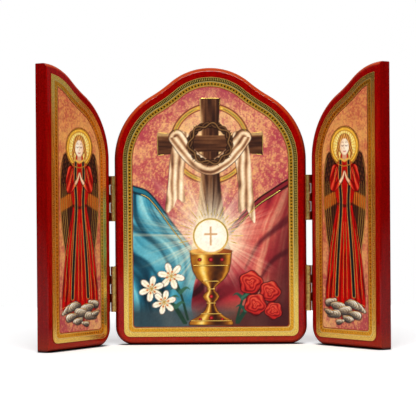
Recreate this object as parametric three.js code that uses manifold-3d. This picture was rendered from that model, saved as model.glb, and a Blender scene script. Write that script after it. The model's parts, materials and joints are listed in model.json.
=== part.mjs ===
// A small folding wooden triptych that stands on its own undersides.
//
// The centre is a lacquered board with an ogee top: a crown arc, two hollow waists and two
// round shoulders that run down into straight sides. Each wing is one half of that same
// outline, turned over so that its straight side is hinged to the centre and its tall side
// is free. A thin printed plate lies on each front face, and two brass butt hinges on edge
// join each wing to the centre.
//
// Millimetres, +Z up. The origin is at the middle of the centre board's underside, the
// viewer looks along +Y, and each wing's rest position is swung forward by its own angle.

import * as THREE from 'three';
import { mergeVertices } from 'three/addons/utils/BufferGeometryUtils.js';
import Module from 'manifold-3d';

const wasm = await Module();
wasm.setup();

// ---- driving dimensions -------------------------------------------------------------

const BOARD = {
  width: 106,
  height: 153,
  thickness: 8,
  crownRadius: 34,
  waistRadius: 78,
  shoulderRadius: 41,
  shoulderHeight: 102,
  cornerRadius: 10,
  frontRound: 2.5,
  backEase: 0.6,
};

const WING = {
  kerf: 0.5, // between the two free edges when both wings are folded shut
  freeEdgeEase: 0.4,
  leftAngle: 54, // degrees forward of lying flat open
  rightAngle: 48.5,
};

const PLATE = {
  thickness: 0.4,
  glueLine: 0.1,
  margin: 4.7,
  bottomMargin: 4.5,
  freeEdgeMargin: 3.5,
  cornerRadius: 3.5,
};

const HINGE = {
  length: 25,
  knuckles: 5,
  knuckleGap: 0.15,
  notchGap: 0.3, // between the barrel and the leaf that is notched around it
  barrelRadius: 1.6,
  pinRadius: 0.75,
  pinClearance: 0.06,
  pinInset: 0.1, // at each end, below the outer knuckles' faces
  leafThickness: 0.6,
  leafInset: 1, // from the leaf's long edge to the board's back face
  seat: 0.05, // between a leaf and the board's edge
  boardGap: 1.6, // between the two boards' edges when laid open
  axisForward: 0.85, // the pin's axis, in front of the boards' front faces
  upperCentre: 81,
  lowerCentre: 31,
  barrelSides: 20,
};

const SCREW = {
  headRadius: 1.3,
  shankRadius: 0.7,
  headDepth: 0.8,
  length: 7,
  tipLength: 1.4,
  clearance: 0.06,
  headRecess: 0.05, // below the leaf's face
  spacing: 15, // between a leaf's two screws
  behindMiddle: 0.6, // from the middle of the board's thickness, towards its back
  sides: 10,
};

const CUT_OVERRUN = 1; // how far a cutting shape runs out past the face that it opens

const ARC_STEPS = { crown: 14, waist: 5, shoulder: 9, corner: 5, frontRound: 4 };

const FRONT_Y = -BOARD.thickness / 2;
const AXIS_X = (BOARD.width + HINGE.boardGap) / 2;
const AXIS_Y = FRONT_Y - HINGE.axisForward;

// ---- materials ----------------------------------------------------------------------

const redLacquer = new THREE.MeshStandardMaterial({ color: '#8f0505', roughness: 0.22 });
const printedFoil = new THREE.MeshStandardMaterial({ color: '#a8583f', roughness: 0.35 });
const brass = new THREE.MeshStandardMaterial({ color: '#b98a3a', roughness: 0.3, metalness: 1 });

// ---- solids -------------------------------------------------------------------------

function toSolid(geometry) {
  const shell = geometry.clone();
  shell.deleteAttribute('normal');
  shell.deleteAttribute('uv');
  const merged = mergeVertices(shell, 1e-4);
  const mesh = { numProp: 3, vertProperties: merged.attributes.position.array };
  mesh.triVerts = new Uint32Array(merged.index.array);
  return new wasm.Manifold(new wasm.Mesh(mesh));
}

function toGeometry(solid) {
  const mesh = solid.getMesh();
  const geometry = new THREE.BufferGeometry();
  geometry.setAttribute('position', new THREE.BufferAttribute(mesh.vertProperties, 3));
  geometry.setIndex(new THREE.BufferAttribute(mesh.triVerts, 1));
  geometry.computeVertexNormals();
  return geometry;
}

function cut(geometry, tools) {
  let solid = toSolid(geometry);
  for (const tool of tools) solid = solid.subtract(toSolid(tool));
  return toGeometry(solid);
}

function join(geometries) {
  const [first, ...rest] = geometries.map(toSolid);
  return toGeometry(rest.reduce((whole, solid) => whole.add(solid), first));
}

function common(geometryA, geometryB) {
  return toGeometry(toSolid(geometryA).intersect(toSolid(geometryB)));
}

// A shape drawn in X and Z, given a depth that runs from y = front to y = back.
function slabFromShape(shape, front, back) {
  const geometry = new THREE.ExtrudeGeometry(shape, { depth: back - front, bevelEnabled: false });
  geometry.rotateX(Math.PI / 2); // the drawing's Y becomes Z, its depth runs towards -Y
  return geometry.translate(0, back, 0);
}

// Outlines with the same number of points, stacked along Y and closed at both ends.
function stackedSlab(layers) {
  const count = layers[0].points.length;
  const positions = [];
  for (const { y, points } of layers) {
    for (const point of points) positions.push(point.x, y, point.y);
  }
  const faces = [];
  for (let layer = 0; layer + 1 < layers.length; layer += 1) {
    for (let i = 0; i < count; i += 1) {
      const a = layer * count + i;
      const b = layer * count + ((i + 1) % count);
      faces.push(a, a + count, b + count, a, b + count, b);
    }
  }
  const last = (layers.length - 1) * count;
  for (const [a, b, c] of THREE.ShapeUtils.triangulateShape(layers[0].points, [])) {
    faces.push(a, b, c);
  }
  for (const [a, b, c] of THREE.ShapeUtils.triangulateShape(layers.at(-1).points, [])) {
    faces.push(last + a, last + c, last + b);
  }
  const geometry = new THREE.BufferGeometry();
  geometry.setAttribute('position', new THREE.Float32BufferAttribute(positions, 3));
  geometry.setIndex(faces);
  return geometry;
}

// ---- the ogee outline ---------------------------------------------------------------

// The right half of the ogee as three tangent arcs, drawn inside the board's own outline by
// the given inset. The waist's centre lies outside the board, where two circles cross: one
// about the crown's centre and one about the shoulder's.
function ogeeArcs(inset) {
  const crown = {
    centre: new THREE.Vector2(0, BOARD.height - BOARD.crownRadius),
    radius: BOARD.crownRadius - inset,
  };
  const shoulder = {
    centre: new THREE.Vector2(BOARD.width / 2 - BOARD.shoulderRadius, BOARD.shoulderHeight),
    radius: BOARD.shoulderRadius - inset,
  };
  const toCrown = BOARD.crownRadius + BOARD.waistRadius;
  const toShoulder = BOARD.shoulderRadius + BOARD.waistRadius;
  const apart = crown.centre.distanceTo(shoulder.centre);
  const along = (toCrown ** 2 - toShoulder ** 2 + apart ** 2) / (2 * apart);
  const across = Math.sqrt(toCrown ** 2 - along ** 2);
  const direction = shoulder.centre.clone().sub(crown.centre).divideScalar(apart);
  const waist = {
    centre: new THREE.Vector2(
      crown.centre.x + along * direction.x - across * direction.y,
      crown.centre.y + along * direction.y + across * direction.x,
    ),
    radius: BOARD.waistRadius + inset,
  };
  return { crown, waist, shoulder };
}

function arcPoints({ centre, radius }, from, to, steps) {
  const points = [];
  for (let i = 0; i <= steps; i += 1) {
    const angle = from + ((to - from) * i) / steps;
    points.push(
      new THREE.Vector2(centre.x + radius * Math.cos(angle), centre.y + radius * Math.sin(angle)),
    );
  }
  return points;
}

// From the end of the straight side up and over to the crown's middle.
function ogeeRightHalf(inset) {
  const { crown, waist, shoulder } = ogeeArcs(inset);
  const toWaistFromCrown = waist.centre.clone().sub(crown.centre).angle();
  const toWaistFromShoulder = waist.centre.clone().sub(shoulder.centre).angle();
  return [
    ...arcPoints(shoulder, 0, toWaistFromShoulder, ARC_STEPS.shoulder),
    ...arcPoints(
      waist,
      toWaistFromShoulder + Math.PI,
      toWaistFromCrown + Math.PI,
      ARC_STEPS.waist,
    ).slice(1),
    ...arcPoints(crown, toWaistFromCrown, Math.PI / 2, ARC_STEPS.crown / 2).slice(1),
  ];
}

// The whole outline, counter-clockwise from the bottom right corner.
function ogeeOutline(inset, cornerRadius, bottom) {
  const corner = {
    centre: new THREE.Vector2(BOARD.width / 2 - inset - cornerRadius, bottom + cornerRadius),
    radius: cornerRadius,
  };
  const rightHalf = [
    ...arcPoints(corner, -Math.PI / 2, 0, ARC_STEPS.corner),
    ...ogeeRightHalf(inset),
  ];
  const leftHalf = rightHalf
    .slice(0, -1)
    .reverse()
    .map((point) => new THREE.Vector2(-point.x, point.y));
  return [...rightHalf, ...leftHalf];
}

// ---- boards and plates --------------------------------------------------------------

// The board with its front edge rounded all round and its back edge only eased.
function ogeeBoard() {
  const { thickness, frontRound, backEase, cornerRadius } = BOARD;
  const layers = [];
  for (let i = 0; i <= ARC_STEPS.frontRound; i += 1) {
    const angle = (Math.PI / 2) * (i / ARC_STEPS.frontRound);
    const inset = frontRound * (1 - Math.sin(angle));
    const y = frontRound * (1 - Math.cos(angle));
    layers.push({ y, points: ogeeOutline(inset, cornerRadius - inset, inset) });
  }
  layers.push({ y: thickness - backEase, points: ogeeOutline(0, cornerRadius, 0) });
  layers.push({
    y: thickness,
    points: ogeeOutline(backEase, cornerRadius - backEase, backEase),
  });
  return stackedSlab(layers);
}

// What is kept of the whole board for one wing: the half with negative X, short of the free
// edge, whose two long arrises are eased by the slanting corners of this plan. The plan runs
// out past the board on its other sides.
function wingKeepPrism() {
  const free = -WING.kerf / 2;
  const front = -CUT_OVERRUN;
  const back = BOARD.thickness + CUT_OVERRUN;
  const slant = CUT_OVERRUN + WING.freeEdgeEase;
  const plan = new THREE.Shape([
    new THREE.Vector2(-BOARD.width, front),
    new THREE.Vector2(free - slant, front),
    new THREE.Vector2(free, front + slant),
    new THREE.Vector2(free, back - slant),
    new THREE.Vector2(free - slant, back),
    new THREE.Vector2(-BOARD.width, back),
  ]);
  const depth = BOARD.height + 2 * CUT_OVERRUN;
  return new THREE.ExtrudeGeometry(plan, { depth, bevelEnabled: false }).translate(0, 0, front);
}

function centrePlate() {
  const outline = ogeeOutline(PLATE.margin, PLATE.cornerRadius, PLATE.bottomMargin);
  return slabFromShape(new THREE.Shape(outline), 0, PLATE.thickness);
}

// Half of the centre plate's outline, cut off upright at the free edge's margin. The lower
// free corner is rounded like the hinge side's, and the upper one stays a point.
function wingPlate() {
  const { margin, bottomMargin, cornerRadius, freeEdgeMargin, thickness } = PLATE;
  const free = WING.kerf / 2 + freeEdgeMargin;
  const corner = {
    centre: new THREE.Vector2(free + cornerRadius, bottomMargin + cornerRadius),
    radius: cornerRadius,
  };
  const { crown } = ogeeArcs(margin);
  const half = ogeeOutline(margin, cornerRadius, bottomMargin).filter((point) => point.x > free);
  const tip = new THREE.Vector2(free, crown.centre.y + Math.sqrt(crown.radius ** 2 - free ** 2));
  const outline = [
    ...half,
    tip,
    ...arcPoints(corner, -Math.PI, -Math.PI / 2, ARC_STEPS.corner),
  ].map((point) => new THREE.Vector2(-point.x, point.y));
  return slabFromShape(new THREE.Shape(outline.reverse()), 0, thickness);
}

// ---- hinges -------------------------------------------------------------------------

// Hinge pieces are drawn about their own pin: the axis is Z, the barrel's middle is z = 0,
// and the leaf stands on the +X side with its screws pointing along +X into the board.

const LEAF_FACE_X = HINGE.boardGap / 2 - HINGE.seat - HINGE.leafThickness;
const LEAF_END_Y = HINGE.axisForward + BOARD.thickness - HINGE.leafInset;
const SCREW_Y = HINGE.axisForward + BOARD.thickness / 2 + SCREW.behindMiddle;

function cylinderAlongZ(radius, length, sides) {
  return new THREE.CylinderGeometry(radius, radius, length, sides).rotateX(Math.PI / 2);
}

function block(lowX, highX, lowY, highY, lowZ, highZ) {
  const geometry = new THREE.BoxGeometry(highX - lowX, highY - lowY, highZ - lowZ);
  return geometry.translate((lowX + highX) / 2, (lowY + highY) / 2, (lowZ + highZ) / 2);
}

// A countersunk screw with its head's flat at x = 0, pointing along +X. For the hole that
// it is driven into, grow widens it and rise carries the mouth out past the head.
function screwBody(grow = 0, rise = 0) {
  const { headRadius, shankRadius, headDepth, length, tipLength, sides } = SCREW;
  const profile = [new THREE.Vector2(0, -rise), new THREE.Vector2(headRadius + grow, -rise)];
  if (rise > 0) profile.push(new THREE.Vector2(headRadius + grow, 0));
  profile.push(
    new THREE.Vector2(shankRadius + grow, headDepth),
    new THREE.Vector2(shankRadius + grow, length - tipLength + grow),
    new THREE.Vector2(0, length + grow),
  );
  return new THREE.LatheGeometry(profile, sides).rotateZ(-Math.PI / 2);
}

function screwPlaces() {
  return [-SCREW.spacing / 2, SCREW.spacing / 2].map(
    (z) => new THREE.Vector3(LEAF_FACE_X + SCREW.headRecess, SCREW_Y, z),
  );
}

function screwCutters() {
  return screwPlaces().map((place) => screwBody(SCREW.clearance, CUT_OVERRUN).translate(...place));
}

// A leaf owns every other knuckle, from the given one up. Its plate runs in to its own
// knuckles and stops short of the other leaf's.
function hingeLeaf(firstOwnKnuckle) {
  const { length, knuckles, knuckleGap, notchGap, barrelRadius, barrelSides } = HINGE;
  const pitch = length / knuckles;
  const pieces = [
    block(
      LEAF_FACE_X,
      LEAF_FACE_X + HINGE.leafThickness,
      barrelRadius + notchGap,
      LEAF_END_Y,
      -length / 2,
      length / 2,
    ),
  ];
  for (let i = firstOwnKnuckle; i < knuckles; i += 2) {
    const low = -length / 2 + i * pitch + (i > 0 ? knuckleGap / 2 : 0);
    const high = -length / 2 + (i + 1) * pitch - (i + 1 < knuckles ? knuckleGap / 2 : 0);
    pieces.push(
      cylinderAlongZ(barrelRadius, high - low, barrelSides).translate(0, 0, (low + high) / 2),
      block(LEAF_FACE_X, LEAF_FACE_X + HINGE.leafThickness, 0, LEAF_END_Y, low, high),
    );
  }
  const boreRadius = HINGE.pinRadius + HINGE.pinClearance;
  const bore = cylinderAlongZ(boreRadius, length + 2 * CUT_OVERRUN, barrelSides);
  return cut(join(pieces), [bore, ...screwCutters()]);
}

function hingePin() {
  return cylinderAlongZ(HINGE.pinRadius, HINGE.length - 2 * HINGE.pinInset, HINGE.barrelSides);
}

// ---- assembly -----------------------------------------------------------------------

// Turned over left for right, with its faces still pointing out.
function mirrorX(geometry) {
  const mirrored = geometry.clone().scale(-1, 1, 1);
  const index = mirrored.index.array;
  for (let i = 0; i < index.length; i += 3) [index[i + 1], index[i + 2]] = [index[i + 2], index[i + 1]];
  mirrored.computeVertexNormals();
  return mirrored;
}

function addMesh(group, name, geometry, material) {
  const mesh = new THREE.Mesh(geometry, material);
  mesh.name = name;
  group.add(mesh);
}

function addGroup(parent, x, y, z) {
  const group = new THREE.Group();
  group.position.set(x, y, z);
  parent.add(group);
  return group;
}

// The screws' holes for both hinges on one edge, about the hinge axis at z = 0.
function edgeHoles() {
  return [HINGE.upperCentre, HINGE.lowerCentre].flatMap((height) =>
    screwCutters().map((cutter) => toGeometry(toSolid(cutter)).translate(0, 0, height)),
  );
}

function addCentre(triptych) {
  const rightEdgeHoles = edgeHoles().map((hole) => mirrorX(hole).translate(AXIS_X, AXIS_Y, 0));
  const leftEdgeHoles = edgeHoles().map((hole) => hole.translate(-AXIS_X, AXIS_Y, 0));
  const board = cut(ogeeBoard().translate(0, FRONT_Y, 0), [...rightEdgeHoles, ...leftEdgeHoles]);
  addMesh(triptych, 'centre_board', board, redLacquer);
  const plateBack = FRONT_Y - PLATE.glueLine;
  const plate = centrePlate().translate(0, plateBack - PLATE.thickness, 0);
  addMesh(triptych, 'centre_plate', toGeometry(toSolid(plate)), printedFoil);
}

// A wing drawn laid open to the right of its own hinge axis.
function wingBoard() {
  const halfBoard = common(ogeeBoard(), wingKeepPrism());
  return cut(halfBoard.translate(AXIS_X, HINGE.axisForward, 0), edgeHoles());
}

function addWing(triptych, side, turn, angle) {
  const wing = addGroup(triptych, turn * AXIS_X, AXIS_Y, 0);
  wing.rotation.z = -turn * THREE.MathUtils.degToRad(angle);
  const outward = (geometry) => (turn > 0 ? geometry : mirrorX(geometry));
  addMesh(wing, `${side}_wing_board`, outward(wingBoard()), redLacquer);
  const plateFront = HINGE.axisForward - PLATE.glueLine - PLATE.thickness;
  const plate = toGeometry(toSolid(wingPlate())).translate(AXIS_X, plateFront, 0);
  addMesh(wing, `${side}_wing_plate`, outward(plate), printedFoil);
  return wing;
}

// One hinge: a leaf and its screws on the centre board, the same on the wing, and the pin.
// The leaves take turns at owning the outer knuckles, so that a board's two leaves differ.
function addHinge(triptych, wing, side, turn, level, height, centreFirst, wingFirst) {
  const name = `${side}_${level}_hinge`;
  const mount = addGroup(triptych, turn * AXIS_X, AXIS_Y, height);
  const wingMount = addGroup(wing, 0, 0, height);
  const towardsWing = (geometry) => (turn > 0 ? geometry : mirrorX(geometry));
  const towardsCentre = (geometry) => (turn > 0 ? mirrorX(geometry) : geometry);
  addMesh(mount, `${name}_centre_leaf`, towardsCentre(hingeLeaf(centreFirst)), brass);
  addMesh(wingMount, `${name}_wing_leaf`, towardsWing(hingeLeaf(wingFirst)), brass);
  addMesh(mount, `${name}_pin`, toGeometry(toSolid(hingePin())), brass);
  screwPlaces().forEach((place, i) => {
    const screw = toGeometry(toSolid(screwBody())).translate(...place);
    addMesh(mount, `${name}_centre_screw_${i + 1}`, towardsCentre(screw), brass);
    addMesh(wingMount, `${name}_wing_screw_${i + 1}`, towardsWing(screw), brass);
  });
}

const triptych = new THREE.Group();
addCentre(triptych);
for (const [side, turn, angle] of [['left', -1, WING.leftAngle], ['right', 1, WING.rightAngle]]) {
  const wing = addWing(triptych, side, turn, angle);
  addHinge(triptych, wing, side, turn, 'upper', HINGE.upperCentre, 0, 1);
  addHinge(triptych, wing, side, turn, 'lower', HINGE.lowerCentre, 1, 0);
}

export default triptych;
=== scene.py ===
# %% [markdown]
# # A small folding triptych
#
# Three red lacquered boards stand on a white table. The middle one has an ogee top, and each
# wing is half of that same outline, hinged so that it can fold over the middle. Every board
# carries a thin printed plate with a gold foil frame. This lesson dresses the fixed model of
# the boards, hinges and screws: first the measures, then the boards, the plates and their
# pictures, the brass hinges, and at the end the light.

# %% Load the fixed model
import json
import math

import bmesh
import bpy
import numpy as np
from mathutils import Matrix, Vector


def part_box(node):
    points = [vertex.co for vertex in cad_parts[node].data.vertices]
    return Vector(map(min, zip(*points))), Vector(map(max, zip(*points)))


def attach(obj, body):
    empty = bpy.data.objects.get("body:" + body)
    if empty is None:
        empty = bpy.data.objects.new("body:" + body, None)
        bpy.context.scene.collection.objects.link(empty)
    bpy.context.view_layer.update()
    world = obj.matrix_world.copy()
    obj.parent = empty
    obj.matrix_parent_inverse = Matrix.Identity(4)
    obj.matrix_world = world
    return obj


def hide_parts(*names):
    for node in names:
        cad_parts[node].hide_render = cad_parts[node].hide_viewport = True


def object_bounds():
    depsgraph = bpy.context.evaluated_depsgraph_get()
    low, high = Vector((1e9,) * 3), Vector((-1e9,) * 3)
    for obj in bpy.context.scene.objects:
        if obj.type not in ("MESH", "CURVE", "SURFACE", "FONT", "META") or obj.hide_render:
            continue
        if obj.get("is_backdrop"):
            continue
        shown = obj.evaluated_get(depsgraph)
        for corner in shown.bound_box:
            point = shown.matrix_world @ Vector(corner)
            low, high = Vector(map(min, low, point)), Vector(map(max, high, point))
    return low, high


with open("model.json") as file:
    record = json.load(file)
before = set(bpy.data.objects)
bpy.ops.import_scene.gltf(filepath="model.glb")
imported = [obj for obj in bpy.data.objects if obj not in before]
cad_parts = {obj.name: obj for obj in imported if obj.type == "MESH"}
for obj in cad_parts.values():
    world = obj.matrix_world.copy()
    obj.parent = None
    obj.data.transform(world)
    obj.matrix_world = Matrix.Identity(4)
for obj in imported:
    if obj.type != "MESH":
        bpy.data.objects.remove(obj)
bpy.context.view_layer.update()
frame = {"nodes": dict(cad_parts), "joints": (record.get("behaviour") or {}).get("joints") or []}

MM = 0.001

# %% [markdown]
# ## Measures
#
# The outline is three tangent arcs on each side of the middle: the crown, a hollow waist and
# a round shoulder. The radii are the maker's own drawing, so they are written down here. All
# that can be read from the fixed model is read from it: the board's width, height and
# thickness, the hinge lines, and how far each wing is swung forward.

# %% The drawing's own measures, in metres
CROWN_RADIUS = 34 * MM
WAIST_RADIUS = 78 * MM
SHOULDER_RADIUS = 41 * MM
SHOULDER_HEIGHT = 102 * MM
CORNER_RADIUS = 10 * MM
FRONT_ROUND = 2.5 * MM
BACK_EASE = 0.6 * MM
FREE_EDGE_EASE = 0.7 * MM
TIP_EASE = 0.4 * MM
WING_KERF = 0.5 * MM

board_low, board_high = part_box("centre_board")
plate_low, plate_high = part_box("centre_plate")
HALF_WIDTH = (board_high.x - board_low.x) / 2
HEIGHT = board_high.z - board_low.z
THICKNESS = board_high.y - board_low.y
BOARD_FRONT = board_low.y
PLATE_FRONT = plate_low.y - board_low.y
PLATE_BACK = plate_high.y - board_low.y
PLATE_MARGIN = HALF_WIDTH - plate_high.x
PLATE_BOTTOM = plate_low.z
joints = {joint["child"]: joint for joint in frame["joints"]}
print("half width", HALF_WIDTH, "height", HEIGHT, "thickness", THICKNESS)


# %% How far each wing is turned
def wing_turn(side):
    """The turn about Z of a wing: the angle of the long direction in plan of its flat plate,
    which is the first principal direction of the plate's points."""
    mesh = frame["nodes"][f"{side}_wing_plate"].data
    points = np.empty(len(mesh.vertices) * 3)
    mesh.vertices.foreach_get("co", points)
    plan = points.reshape(-1, 3)[:, :2]
    direction = np.linalg.svd(plan - plan.mean(0), full_matrices=False)[2][0]
    return math.atan(direction[1] / direction[0])


BODIES = {"centre": (0.0, 1, (0.0, BOARD_FRONT))}
for side, mirror in (("left", 1), ("right", -1)):
    axis = joints[f"{side}_wing"]["pos_m"]
    BODIES[f"{side}_wing"] = (wing_turn(side), mirror, (axis[0], axis[1]))
AXIS_X = abs(BODIES["left_wing"][2][0])
AXIS_FORWARD = BOARD_FRONT - BODIES["left_wing"][2][1]
print({body: round(math.degrees(turn), 2) for body, (turn, _, _) in BODIES.items()})


# %% From a board's drawing to its place
def place(points, body, flip=False):
    """Points drawn on a board, x across, y into its thickness from the front face, z up, put
    where that board stands. A wing is drawn as the right half of the centre board: it is
    shifted so that its hinge line is at zero, mirrored for the right wing, turned about Z,
    and moved to its hinge line. flip mirrors what belongs on the centre board's left side."""
    turn, mirror, (x0, y0) = BODIES[body]
    x, y, z = np.asarray(points, float).T
    if body != "centre":
        x, y = mirror * (x - AXIS_X), y + AXIS_FORWARD
    elif flip:
        x = -x
    cosine, sine = math.cos(turn), math.sin(turn)
    return np.column_stack([x0 + x * cosine - y * sine, y0 + x * sine + y * cosine, z])


# %% [markdown]
# ## Helpers for meshes
#
# A surface here is a grid of points worked out as whole arrays, and its faces are the grid's
# cells. One helper makes the cells, and one makes the finished piece: it fills the mesh,
# shades it smooth, names its finishes and ties it to the board that it moves with.

# %% Grid cells
def grid_faces(rows, columns, closed=False):
    """The four corners of each cell of a grid of points counted row by row. A closed grid's
    last column joins its first one."""
    count = columns if closed else columns - 1
    row, column = np.meshgrid(np.arange(rows - 1), np.arange(count), indexing="ij")
    after = (column + 1) % columns
    cell = [row * columns + column, (row + 1) * columns + column]
    cell += [(row + 1) * columns + after, row * columns + after]
    return np.stack(cell, -1).reshape(-1, 4)


# %% A finished piece
SHARP_ANGLE = math.radians(38)


def make_mesh(name, points, faces):
    """A mesh from an array of points and a list of faces of any number of corners."""
    mesh = bpy.data.meshes.new(name)
    mesh.from_pydata(np.asarray(points, float), [], [tuple(map(int, face)) for face in faces])
    mesh.shade_smooth()
    return mesh


def edit_mesh(mesh, change):
    """Runs a change on the mesh in Blender's editing form, then points its faces outwards."""
    work = bmesh.new()
    work.from_mesh(mesh)
    change(work)
    bmesh.ops.recalc_face_normals(work, faces=work.faces[:])
    work.to_mesh(mesh)
    work.free()
    mesh.shade_smooth()
    return mesh


def weld(work):
    bmesh.ops.remove_doubles(work, verts=work.verts[:], dist=0.5e-6)


def move_mesh(mesh, body, **how):
    """Puts a drawn mesh where its board stands."""
    points = np.empty(len(mesh.vertices) * 3)
    mesh.vertices.foreach_get("co", points)
    mesh.vertices.foreach_set("co", place(points.reshape(-1, 3), body, **how).ravel())
    mesh.update()


def finish_piece(mesh, body, materials, stands_for=(), flip=False):
    """Puts a mesh drawn on a board in the scene, as a piece that rides on that board's body.
    Its faces are pointed out again, because the mirror in place() turns them over."""
    move_mesh(mesh, body, flip=flip)
    edit_mesh(mesh, lambda work: None)
    mesh.set_sharp_from_angle(angle=SHARP_ANGLE)
    piece = bpy.data.objects.new(mesh.name, mesh)
    bpy.context.collection.objects.link(piece)
    for material in materials:
        mesh.materials.append(material)
    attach(piece, body)
    if stands_for:
        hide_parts(*stands_for)
    return piece


# %% [markdown]
# ## Helpers for finishes
#
# Colours are written as the usual sRGB hex numbers, and one function turns them into the
# linear light that the renderer counts in. Each material is a small tree of nodes. One
# function adds a node, sets it and links it, so that a tree reads from top to bottom.

# %% Colour and nodes
def linear(code):
    """An sRGB hex colour as linear red, green and blue: each channel is raised to the power
    2.4 after an offset, or divided by 12.92 where it is very dark."""
    channels = np.array([int(code[i:i + 2], 16) / 255 for i in (1, 3, 5)])
    return np.where(channels <= 0.04045, channels / 12.92, ((channels + 0.055) / 1.055) ** 2.4)


def rgba(code):
    return (*linear(code), 1.0)


def add_node(tree, kind, inputs=None, **settings):
    """A new node with its settings. inputs gives each socket a value or a link."""
    made = tree.nodes.new(kind)
    for key, value in settings.items():
        setattr(made, key, value)
    usable = [socket for socket in made.inputs if socket.enabled]
    for key, value in (inputs or {}).items():
        named = [socket for socket in usable if socket.name == key]
        socket = named[0] if named else made.inputs[key]
        if isinstance(value, bpy.types.NodeSocket):
            tree.links.new(value, socket)
        else:
            socket.default_value = value
    return made


def new_material(name, **values):
    """A material with its Principled shader, whose plain values are set on its own sockets."""
    material = bpy.data.materials.new(name)
    material.use_nodes = True
    shader = material.node_tree.nodes["Principled BSDF"]
    for key, value in values.items():
        shader.inputs[key.replace("_", " ")].default_value = value
    return material, material.node_tree, shader


# %% [markdown]
# ## The outline
#
# The right half of the outline is one curve from the bottom corner to the middle of the
# crown. It is a function of how far along it a point is and of how far inside the board's
# edge it runs, because a line inside a tangent arc is again an arc about the same centre,
# with another radius. The rounded edges, the plates and the foil frame all use it.

# %% Where the arcs meet
crown_centre = np.array([0.0, HEIGHT - CROWN_RADIUS])
shoulder_centre = np.array([HALF_WIDTH - SHOULDER_RADIUS, SHOULDER_HEIGHT])
to_crown = CROWN_RADIUS + WAIST_RADIUS
to_shoulder = SHOULDER_RADIUS + WAIST_RADIUS
apart = np.linalg.norm(shoulder_centre - crown_centre)
along = (to_crown**2 - to_shoulder**2 + apart**2) / (2 * apart)
across = math.sqrt(to_crown**2 - along**2)
direction = (shoulder_centre - crown_centre) / apart
waist_centre = crown_centre + along * direction + across * np.array([-direction[1], direction[0]])
crown_end = math.atan2(*(waist_centre - crown_centre)[::-1])
shoulder_end = math.atan2(*(waist_centre - shoulder_centre)[::-1])
print("waist turns at", np.round(waist_centre / MM, 1), "mm")


# %% The right half as one curve
def half_outline(s, inset, corner, bottom, drop=0.0, last_x=0.0):
    """Points at s, which runs from 0 to 5: one unit each for the bottom corner, the straight
    side, the shoulder, the waist and the crown. Each arc is its centre plus its radius times
    the cosine and sine of an angle that runs evenly with s. The crown stops at x = last_x.
    All that is above the straight side can be set lower by a drop."""
    s = np.asarray(s, float)
    part = np.clip(np.floor(s), 0, 4).astype(int)
    f = s - part
    crown = CROWN_RADIUS - inset
    crown_stop = math.acos(last_x / crown)
    centre = np.array([
        [HALF_WIDTH - inset - corner, bottom + corner], [0, 0],
        shoulder_centre, waist_centre, crown_centre,
    ]) - np.outer((0, 0, 1, 1, 1), (0, drop))
    radius = np.array([corner, 0, SHOULDER_RADIUS - inset, WAIST_RADIUS + inset, crown])
    start = np.array([-math.pi / 2, 0, 0, shoulder_end + math.pi, crown_end])
    stop = np.array([0, 0, shoulder_end, crown_end + math.pi, crown_stop])
    angle = start[part] + (stop - start)[part] * f
    points = centre[part] + radius[part, None] * np.column_stack([np.cos(angle), np.sin(angle)])
    low, high = bottom + corner, SHOULDER_HEIGHT - drop
    side = np.column_stack([np.full(len(s), HALF_WIDTH - inset), low + (high - low) * f])
    return np.where((part == 1)[:, None], side, points)


def even_steps(step, **shape):
    """Values of s about one step of length apart: the curve's length is added up on a fine
    division and cut evenly, and the joints between its five parts are kept."""
    cuts = []
    for part in range(5):
        fine = half_outline(np.linspace(part, part + 1 - 1e-9, 60), **shape)
        length = np.linalg.norm(np.diff(fine, axis=0), axis=1).sum()
        cuts.append(part + np.arange(max(1, round(length / step))) / max(1, round(length / step)))
    return np.append(np.concatenate(cuts), 5 - 1e-9)


# %% The whole outline of the board, or of one wing
def closed_loop(s, inset, corner, bottom, drop=0.0, free=None, tip=0.0, foot=0.0):
    """The loop right round a board, its plate or its picture. The centre board's is the right
    half and its mirror image. A wing's is the right half cut off upright at x = free, with
    its top corner rounded to the radius tip and its bottom one to the radius foot. The rest
    are straight lines and quarter circles of a fixed number of points, so that loops drawn
    with the same s match point for point."""
    if free is None:
        right = half_outline(s, inset, corner, bottom, drop)
        return close_base(np.vstack([right, right[-2::-1] * (-1, 1)]))
    right = half_outline(s, inset, corner, bottom, drop, last_x=free + tip)
    top = right[-1, 1]
    quarter = np.linspace(0, math.pi / 2, 7)[1:]
    over = np.column_stack([free + tip - tip * np.sin(quarter), top - tip + tip * np.cos(quarter)])
    down = np.linspace(top - tip, bottom + foot, 120)[1:]
    under = np.column_stack([free + foot - foot * np.cos(quarter),
                             bottom + foot - foot * np.sin(quarter)])
    edge = np.column_stack([np.full(len(down), free), down])
    return close_base(np.vstack([right, over, edge, under]))


def close_base(loop):
    """The loop with its straight base divided, back to its first point."""
    return np.vstack([loop, np.linspace(loop[-1], loop[0], 50)[1:]])


# %% [markdown]
# ## The boards
#
# Each board is about 8 mm of wood with a lacquered face, its front edge rounded over all
# round and its back edge only eased. One way is a flat outline with a Bevel modifier. Here
# the rounding is a profile carried along the outline instead, because then the same curve
# gives every ring exactly. A wing is the same board sawn in two, so its loop runs down a
# straight free edge with a smaller round of its own.

# %% The red lacquer
# Gloss nitrocellulose lacquer over stained beech: a deep red coat under a clear one. The eye
# sees a saturated colour, a sharp highlight and very faint long grain. Over the rounded top
# edges, as far as they face up, the red is painted lighter and more orange, as painted light
# from above. The lowest centimetre gets a little of the same, as a painted reflection of the lit
# table. The foot is painted almost black, as painted shade under its round, and the roundings
# that do not face up and a wing's free edge are painted darker, as painted shade. Under the
# clear coat the colour has no gloss of its own, because both have the same index.
GRAIN_WIDTH = 1.4 * MM
SPECK_WIDTH = 0.7 * MM
PEEL_WIDTH = 2.2 * MM
# Height over which the painted reflection of the lit table fades out above the foot.
PAINTED_BOUNCE_HEIGHT = 11 * MM


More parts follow.
